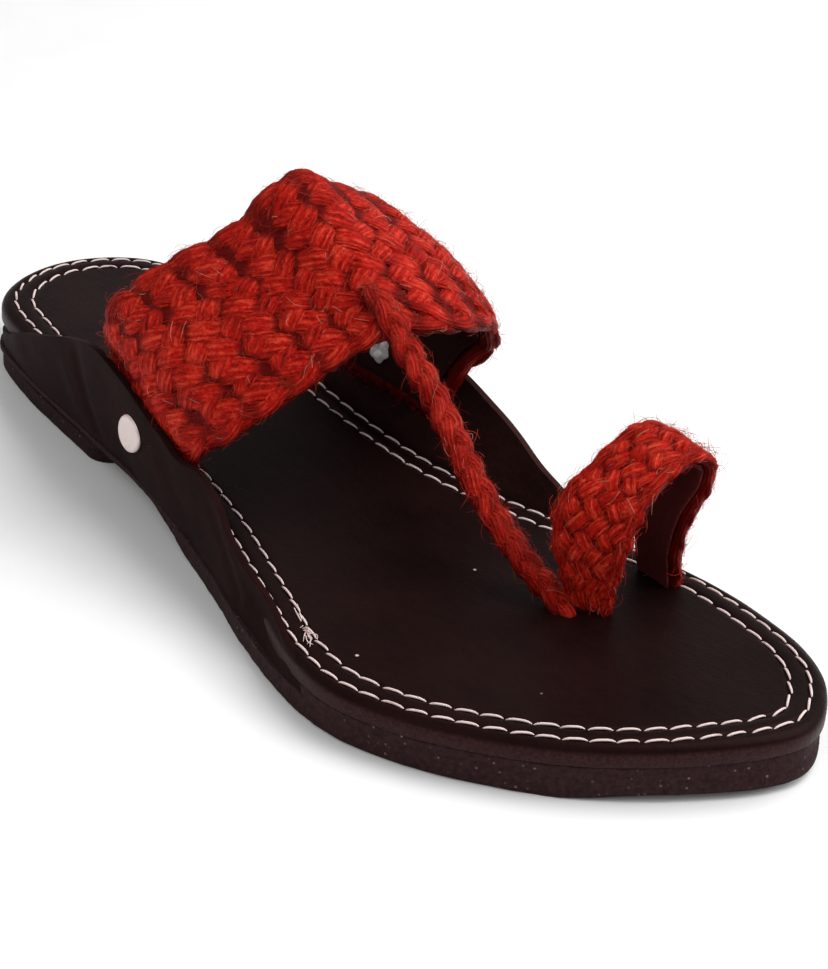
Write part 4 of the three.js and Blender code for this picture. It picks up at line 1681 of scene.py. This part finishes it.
@dataclass
class RoundPlait:
    """A cord of three strands plaited along a route."""

    name: str
    route: Sequence[Place]
    pitch: float = 17.0
    swing: float = 1.55
    lift: float = 0.72
    half_width: float = 1.8
    half_height: float = 1.4
    thin_end: float = 0.55
    taper: Tuple[float, float] = (1.0, 11.0)
    sides: int = 20
    step: float = 0.7
    seed: int = 700

    def bundles(self) -> List[Bundle]:
        """Winds the strands round the cord's line.

        Returns:
            The cord's strands.
        """
        dense = Rail(self.route).at(np.linspace(0, 1, 900))
        run = run_of(dense)
        along = np.arange(0, run[-1], self.step)
        line = read_at(along, run, dense)
        tangent = unit(np.gradient(line, axis=0))
        across = unit(np.cross(tangent, (0.0, 0.0, -1.0)))
        out = np.cross(across, tangent)
        out *= np.sign(out[:, 2:3])
        size = self.thin_end + (1 - self.thin_end) * smooth(*self.taper, along)
        bundles = []
        for index in range(3):
            seed = self.seed + 13 * index
            phase = 2 * np.pi * (along / self.pitch + index / 3) + 0.25 * Ripple(seed, 30)(along)
            side = self.swing * np.sin(phase) * size + 0.12 * Ripple(seed + 1, 9)(along)
            over = np.sin(2 * phase)
            path = line + across * side[:, None] + out * (self.lift * over * size)[:, None]
            swell = 1 + 0.07 * Ripple(seed + 2, 7)(along)
            wide, tall = self.half_width * swell * size, self.half_height * (2 - swell) * size
            # the fifth argument is how far over the others it lies, from which the jute paints shade where it
            # dives
            bundles.append(Bundle(path, out, wide, tall, 0.62 + 0.38 * over, seed))
        return bundles

    def build(self) -> Tuple[bpy.types.Object, List[Bundle]]:
        """Builds the cord.

        Returns:
            The joined cord and its strands.
        """
        bundles = self.bundles()
        parts = [bundle.mesh(f"{self.name}_{k}", self.sides) for k, bundle in enumerate(bundles)]
        return join(self.name, parts), bundles


@dataclass
class Fibres:
    """Loose fibres that lie along the strands, arch off them or stand out with a free end."""

    name: str
    bundles: Sequence[Bundle]
    per_cm: float
    seed: int
    thick: Tuple[float, float] = (0.025, 0.048)
    length: Tuple[float, float] = (1.5, 5.0)
    stand: float = 1.0
    rings: int = 5
    free: float = 0.3
    lean: float = 0.22
    sides: int = 3

    def fibre(
        self, rng: np.random.Generator, foot: np.ndarray, along: np.ndarray, radial: np.ndarray
    ) -> np.ndarray:
        """One fibre as a thin tube.

        Args:
            rng: Source of its chances.
            foot: Where it lies on the strand, in bench millimetres.
            along: The way the strand runs there.
            radial: The way out of the strand there.

        Returns:
            Rings by sides by 3, in bench millimetres.
        """
        sideways = unit(np.cross(along, radial))
        drift = rng.normal(0, 0.6)
        heading = unit(along * rng.choice((-1, 1)) + sideways * drift)
        reach = rng.uniform(*self.length)
        t = np.linspace(0, 1, self.rings)[:, None]
        if rng.uniform() < self.free:
            rise = abs(rng.normal(0, 0.9)) * self.stand + 0.1
            rest = heading * (t * reach * 0.45)
            arch = t**1.6 * rise * min(reach, 4.0) * self.lean - 0.06 * (1 - t)
            slimming = 1 - 0.6 * t[:, 0]
        else:
            rise = abs(rng.normal(0, 0.35)) * self.stand + 0.1
            rest = heading * (t * reach)
            arch = 4 * t * (1 - t) * rise - 0.12 * (2 * t - 1) ** 4 - reach * t * 0.02
            slimming = np.ones(self.rings)
        curl = sideways * (rng.normal(0, 0.5) * t * (1 - t) * reach * 0.5)
        line = foot + rest + radial * arch + curl
        thick = rng.uniform(*self.thick) * slimming
        tangent = unit(np.gradient(line, axis=0))
        first = unit(np.cross(tangent, radial + 1e-3))
        second = np.cross(tangent, first)
        turn = 2 * np.pi * np.arange(self.sides) / self.sides
        ring = first[:, None] * np.cos(turn)[None, :, None] + second[:, None] * np.sin(turn)[None, :, None]
        return line[:, None] + ring * thick[:, None, None]

    def build(self) -> bpy.types.Object:
        """Builds all the fibres as one mesh of thin threads.

        Returns:
            The piece.
        """
        rng = np.random.default_rng(self.seed)
        verts, tones = [], []
        for bundle in self.bundles:
            along, across, out = bundle.axes()
            run = run_of(bundle.path)
            for _ in range(int(run[-1] / 10 * self.per_cm)):
                at = rng.integers(2, len(run) - 2)
                # fewer fibres are seen where the strand dives under another
                if bundle.depth[at] < rng.uniform(0.1, 0.6):
                    continue
                angle = rng.uniform(-0.25, math.pi + 0.25)
                aside, upward = across[at] * math.cos(angle), out[at] * math.sin(angle)
                foot = bundle.path[at] + aside * bundle.half_width[at] + upward * bundle.half_height[at]
                verts.append(self.fibre(rng, foot, along[at], aside + upward))
                tones.append(rng.uniform())
        last, sides = self.rings - 1, self.sides
        faces = [
            (k * sides + i, k * sides + j, (k + 1) * sides + j, (k + 1) * sides + i)
            for k in range(last)
            for i, j in zip(range(sides), (*range(1, sides), 0))
        ]
        faces += [tuple(reversed(range(sides))), tuple(last * sides + i for i in range(sides))]
        return copies(self.name, np.array(verts).reshape(len(verts), -1, 3), faces, np.array(tones))


@dataclass
class WovenUpper:
    """Instep band, big-toe loop and the cord between them, with their dark linings and loose fibres."""

    band: Strap = field(
        default_factory=lambda: Strap(
            (
                {"rear": (77, -30.2, 18.6), "front": (111, -36.1, 16.8), "thickness": 2.8},
                {"rear": (75.5, -31.2, 26), "front": (112, -36.7, 20.8), "thickness": 3.2},
                {"rear": (74.5, -32.4, 35), "front": (115, -37.8, 26.8), "thickness": 4.2},
                {"rear": (75.6, -33.2, 44.6), "front": (123.5, -32.2, 36.5), "thickness": 4.6},
                {"rear": (81, -25, 54.2), "front": (130, -22, 45.9), "thickness": 4.6},
                {"rear": (91, -13, 64.8), "front": (134.2, -11.3, 53.6), "thickness": 4.6},
                {"rear": (98.5, -1, 78.3), "front": (138.5, -1, 57), "thickness": 4.6},
                {"rear": (101, 10.8, 74.0), "front": (141, 11, 56), "thickness": 4.6, "crown": 1.8},
                {"rear": (101, 22.4, 67.6), "front": (138.5, 22.8, 52.2), "thickness": 4.6, "crown": 3.2},
                {"rear": (98, 31.6, 57.0), "front": (133.6, 31.0, 47.6), "thickness": 4.6, "crown": 3.4},
                {"rear": (94, 34.4, 44), "front": (130.8, 34.6, 39.3), "thickness": 4.6, "crown": 2.4},
                {"rear": (91.4, 30.4, 36), "front": (128.0, 30.6, 34.2), "thickness": 4.4},
                {"rear": (89.6, 27.8, 28.4), "front": (125.6, 27.7, 27.7), "thickness": 3.8},
                {"rear": (88.8, 25.4, 19.8), "front": (123.4, 25.6, 20), "thickness": 2.8},
            ),
            crown=1.2,
        )
    )
    loop: Strap = field(
        default_factory=lambda: Strap(
            (
                {"rear": (187.6, 5.2, 8.2), "front": (196, 9.0, 8.2)},
                {"rear": (186.2, 4.9, 12.0), "front": (196.2, 8.7, 12.6)},
                {"rear": (184.8, 3.6, 19.0), "front": (197.6, 8.8, 20.5)},
                {"rear": (183.3, 1.7, 27.4), "front": (199, 9.0, 29.5)},
                {"rear": (182.6, 3.6, 35.4), "front": (200, 10.2, 37.0)},
                {"rear": (183.2, 11.2, 42.3), "front": (200.6, 13.6, 43.0)},
                {"rear": (184.4, 18.2, 47.6), "front": (201, 19.6, 46.8)},
                {"rear": (185.6, 24.8, 49.2), "front": (201.8, 25.6, 47.8)},
                {"rear": (186.4, 30.4, 45.4), "front": (202.2, 29.8, 44.6)},
                {"rear": (186.4, 32.2, 38.6), "front": (202.0, 29.9, 38.4)},
                {"rear": (184.2, 31.6, 30.0), "front": (200, 27.6, 30.6)},
                {"rear": (183.6, 31.2, 22.0), "front": (198, 28.0, 22.4)},
                {"rear": (184.6, 31.4, 14.5), "front": (196.6, 30.2, 14.4)},
                {"rear": (187.0, 31.8, 8.2), "front": (195.6, 31.4, 8.2)},
            ),
            crown=0.5,
            wall=3.8,
        )
    )
    cord_route: Sequence[Place] = (
        (125.2, -2.2, 62.0),
        (129.8, -3.0, 62.4),
        (134.9, -3.7, 60.2),
        (140.8, -3.0, 54.2),
        (150.3, -1.2, 44.4),
        (160.4, -0.6, 33.4),
        (173.4, 0.0, 22.6),
        (184.2, 2.0, 14.8),
        (190.0, 4.4, 10.2),
    )
    lining_wall: float = 0.7
    lining_inset: float = 0.09
    lining_depth: float = 0.92
    core_inset: float = 0.06
    core_depth: float = 0.36
    hem_radius: float = 1.7
    hem_end: float = 2.0
    hem_sides: int = 20
    fibres_per_cm: Tuple[float, float, float] = (31.0, 40.0, 56.0)
    hem_fibres_per_cm: float = 40.0

    def hem(self, name: str, strap: Strap, depth: float, seed: int) -> Tuple[bpy.types.Object, List[Bundle]]:
        """Strands that fill out both edges of a strap under the plait.

        Args:
            name: The piece's name.
            strap: The strap they follow.
            depth: How deep they lie, as a share of the strap's thickness.
            seed: Seed of their unevenness.

        Returns:
            The joined piece and its strands.
        """
        along = np.arange(self.hem_end, strap.length - self.hem_end, 0.8)
        wall = strap.read(strap.walls, along)
        edge = self.hem_radius / strap.read(strap.widths, along)
        full = wall / self.band.walls.max()
        facing = strap.read(strap.normal, along)
        bundles = []
        for index, share in enumerate((edge, 1 - edge)):
            swell = (1 + 0.07 * Ripple(seed + index, 7)(along)) * full
            path = strap.place(along, share, wall * depth)
            size = self.hem_radius * swell
            # a depth of one half gives the hems painted shade all along, as strands half hidden
            bundles.append(Bundle(path, facing, size, size, np.full(len(along), 0.5), seed + index))
        parts = [bundle.mesh(f"{name}_{k}", self.hem_sides) for k, bundle in enumerate(bundles)]
        return join(name, parts), bundles

    def sheet(self, name: str, strap: Strap, end: float, inset: float, depth: float) -> bpy.types.Object:
        """Thin sheet that follows a strap.

        Args:
            name: The piece's name.
            strap: The strap it follows.
            end: Length of the strap left free at each end.
            inset: Share of the strap's width left free at each edge.
            depth: How deep it lies, as a share of the strap's thickness.

        Returns:
            The piece.
        """
        along = np.linspace(end, strap.length - end, 120)
        share = np.linspace(inset, 1 - inset, 30)
        run, place = np.meshgrid(along, share, indexing="ij")
        face = strap.read(strap.walls, run) * depth + 0.05
        outer, inner = strap.place(run, place, face), strap.place(run, place, face + self.lining_wall)
        return draped_grid(name, np.concatenate([outer, inner[:, ::-1]], axis=1), around=True, ends=True)

    def plaits(self, dye: bpy.types.Material, fibre: bpy.types.Material) -> None:
        """Builds and dresses the band, the loop and the cord, each with its fibres and short down.

        Args:
            dye: The band's finish.
            fibre: The loose fibres' finish.
        """
        # a lighter copy of the band's jute: painted light on the loop
        light = Jute("jute_loop", middle=srgb(196, 28, 17), bright=srgb(246, 96, 68)).build()
        # a darker copy of the band's jute: painted shadow of the band over the cord
        deep = Jute("jute_cord", middle=srgb(158, 20, 13), bright=srgb(214, 68, 48)).build()
        band = FlatPlait("band_plait", self.band, 13, 9.4, 2.95, 0.95, 0.5, 1.9, sides=22)
        loop = FlatPlait("loop_plait", self.loop, 7, 7.4, 1.75, 0.8, 0.5, 1.3, seed=500, step=0.6)
        cord = RoundPlait("toe_cord", self.cord_route)
        rows = zip((band, loop, cord), (dye, light, deep), self.fibres_per_cm)
        for index, (plait, jute, per_cm) in enumerate(rows):
            piece, bundles = plait.build()
            dress(piece, jute, Slot.JUTE, *(("upper",) if plait is band else ()))
            fuzz = Fibres(f"{plait.name}_fibres", bundles, per_cm, 900 + index)
            dress(fuzz.build(), fibre, Slot.JUTE)
            down = Fibres(
                f"{plait.name}_down",
                bundles,
                2 * per_cm,
                980 + index,
                thick=(0.018, 0.032),
                length=(0.7, 2.2),
                stand=1.2,
                rings=4,
                free=0.8,
                lean=0.5,
            )
            dress(down.build(), fibre, Slot.JUTE)

    def build(self) -> None:
        """Builds and dresses the plaits, linings, hems and cores."""
        jute = Jute("jute_plait").build()
        fibre = LooseFibre("jute_fibre").build()
        self.plaits(jute, fibre)
        outer = Lining("strap_lining").build()
        # a lighter copy of the strap lining: painted light on the loop's shaded inner face
        inner = Lining("loop_lining", warp=srgb(62, 19, 19), weft=srgb(116, 37, 33)).build()
        # the core stands for the fibres under the plait; its dark red is partly their colour and partly painted
        # shade in the gaps between strands
        shaded_core = Lining("jute_core", warp=srgb(98, 12, 9), weft=srgb(142, 24, 16)).build()
        for name, strap, lining, depth, seed in (
            ("band", self.band, outer, 0.56, 860),
            ("loop", self.loop, inner, 0.44, 880),
        ):
            sheet = self.sheet(f"{name}_lining", strap, 3.0, self.lining_inset, self.lining_depth)
            dress(sheet, lining, Slot.JUTE)
            piece, bundles = self.hem(f"{name}_hem", strap, depth, seed)
            dress(piece, jute, Slot.JUTE)
            fuzz = Fibres(f"{name}_hem_fibres", bundles, self.hem_fibres_per_cm, 954)
            dress(fuzz.build(), fibre, Slot.JUTE)
            middle = self.sheet(f"{name}_core", strap, 1.0, self.core_inset, self.core_depth)
            dress(middle, shaded_core, Slot.JUTE)


# ---------------------------------------------------------------- rivets


@dataclass
class Rivet:
    """A pressed cap on the outside of a flap and the shank's turned-over end on the inside."""

    name: str
    node: str
    at: Place
    facing: Place
    grip: float
    cap_radius: float = 4.3
    cap_height: float = 1.1
    end_radius: float = 3.1
    end_folds: int = 6
    end_crimp: float = 0.09
    segments: int = 64

    def turned(self, profile: Sequence[Tuple[float, float]], crimp: float = 0.0) -> np.ndarray:
        """Points of a turned shape about the rivet's axis.

        Args:
            profile: Radius and height pairs along the outline.
            crimp: How deeply its outer edge is crimped.

        Returns:
            Rows by columns of points, in bench millimetres.
        """
        axis = Vector(self.facing).normalized()
        basis = np.array(axis.to_track_quat("Z", "Y").to_matrix())
        turn = 2 * np.pi * np.arange(self.segments) / self.segments
        radius = np.array([r for r, _ in profile])[:, None]
        height = np.array([h for _, h in profile])[:, None] + 0 * turn[None]
        folds = self.end_folds * turn
        fold = 1 + crimp * np.sin(folds + 0.4)[None] * (radius / self.end_radius)
        height = height + crimp * 1.3 * np.cos(folds)[None] * (radius / self.end_radius)
        local = np.stack([radius * fold * np.cos(turn), radius * fold * np.sin(turn), height], -1)
        return np.array(self.at) + local @ basis.T

    def build(self) -> None:
        """Builds and dresses the cap and the turned end."""
        r, h = self.cap_radius, self.cap_height
        cap = [(0, -0.2), (r - 0.4, -0.2), (r, 0.05), (r, h * 0.35), (r - 0.12, h * 0.6), (r - 0.42, h * 0.8)]
        cap += [(r * share, h * (0.82 + 0.18 * (1 - share**2))) for share in (0.84, 0.7, 0.5, 0.3, 0.1, 0)]
        head = draped_grid(f"{self.name}_cap", self.turned(cap), around=True)
        dress(head, CapMetal(f"{self.name}_cap").build(), Slot.RIVET, self.node)
        e, depth = self.end_radius, -self.grip
        end = [(0, depth + 0.6), (e * 0.96, depth + 0.4), (e, depth), (e * 0.9, depth - 0.5)]
        end += [(e * 0.62, depth - 0.95), (e * 0.4, depth - 0.8), (e * 0.22, depth - 0.55), (0, depth - 0.5)]
        foot = draped_grid(f"{self.name}_end", self.turned(end, self.end_crimp), around=True)
        # near white and barely metallic: a painted reflection standing in for the bare metal's bright one, as
        # the end lies in shade
        bare = CapMetal(f"{self.name}_end", srgb(255, 252, 250), srgb(190, 180, 174), 0.1, 0.24)
        dress(foot, bare.build(), Slot.RIVET)


# ---------------------------------------------------------------- studio


@dataclass(frozen=True)
class Softbox:
    """A square soft light that faces the shoe."""

    name: str
    place: Place
    size: float
    watts: float

    def build(self) -> None:
        """Hangs the light."""
        data = bpy.data.lights.new(self.name, "AREA")
        data.shape = "SQUARE"
        data.size = self.size
        data.energy = self.watts
        lamp = bpy.data.objects.new(self.name, data)
        lamp.location = self.place
        lamp.rotation_mode = "QUATERNION"
        lamp.rotation_quaternion = (Vector((0.02, 0, 0.02)) - Vector(self.place)).to_track_quat("-Z", "Y")
        bpy.context.scene.collection.objects.link(lamp)


@dataclass
class Studio:
    """Pale floor, soft lights and the camera."""

    target: Place = (141.793, 1.691, 20.0)
    azimuth: float = 47.0855
    elevation: float = 29.4193
    roll: float = 4.3028
    distance: float = 562.565
    focal_rows: float = 2600.0
    frame_rows: float = 969.0
    sensor: float = 36.0
    sky_strength: float = 0.44
    softboxes: Sequence[Softbox] = (
        Softbox("softbox_above", (0.3, 0.52, 1.0), 0.9, 10.6),
        Softbox("softbox_toe", (0.75, 0.6, 0.6), 0.45, 3.2),
        Softbox("softbox_outer", (0.25, -1.0, 0.9), 0.8, 3.0),
    )

    def camera(self) -> None:
        """Places the camera."""
        a, e, roll = (math.radians(v) for v in (self.azimuth, self.elevation, self.roll))
        back = Vector((math.sin(a) * math.cos(e), -math.cos(a) * math.cos(e), math.sin(e)))
        level = Vector((math.cos(a), math.sin(a), 0))
        upright = back.cross(level)
        right = math.cos(roll) * level + math.sin(roll) * upright
        up = math.cos(roll) * upright - math.sin(roll) * level
        data = bpy.data.cameras.new("camera")
        data.sensor_width = self.sensor
        data.lens = self.focal_rows / self.frame_rows * self.sensor
        data.clip_start, data.clip_end = 0.02, 20
        camera = bpy.data.objects.new("camera", data)
        place = Vector(FORM.to_row(np.array(self.target))) + back * self.distance * MM
        camera.matrix_world = Matrix.Translation(place) @ Matrix((right, up, back)).transposed().to_4x4()
        bpy.context.scene.collection.objects.link(camera)
        bpy.context.scene.camera = camera

    def build(self) -> None:
        """Builds the floor, world, lights and camera."""
        deselect()
        bpy.ops.mesh.primitive_plane_add(size=6)
        floor = bpy.context.object
        floor.name = "studio_floor"
        floor.data.materials.append(StudioFloor().build())
        world = bpy.data.worlds.new("studio")
        world.use_nodes = True
        sky = world.node_tree.nodes["Background"]
        sky.inputs["Color"].default_value = (1, 1, 1, 1)
        sky.inputs["Strength"].default_value = self.sky_strength
        bpy.context.scene.world = world
        bpy.context.scene.view_settings.view_transform = "Standard"
        for softbox in self.softboxes:
            softbox.build()
        self.camera()


def main() -> None:
    """Builds the sandal and the studio round it."""
    logging.basicConfig(level=logging.INFO, format="%(name)s: %(message)s")
    sole = Sole()
    FORM.settle(sole.outline())
    LOG.info("bench shift %s", FORM.shift.round(3))
    Studio().build()
    flaps = (LATERAL_FLAP, MEDIAL_FLAP)
    sole.build(flaps)
    Stitching(sole).build()
    for flap in flaps:
        flap.build()
    WovenUpper().build()
    Rivet("rivet_lateral", "rivet_lateral", (90.7, -36.76, 21.2), (-0.07, -0.995, 0.07), 7.2).build()
    Rivet("rivet_medial", "rivet_medial", (102.0, 32.1, 27.4), (0.03, 0.96, -0.28), 7.4).build()


if __name__ == "__main__":
    main()
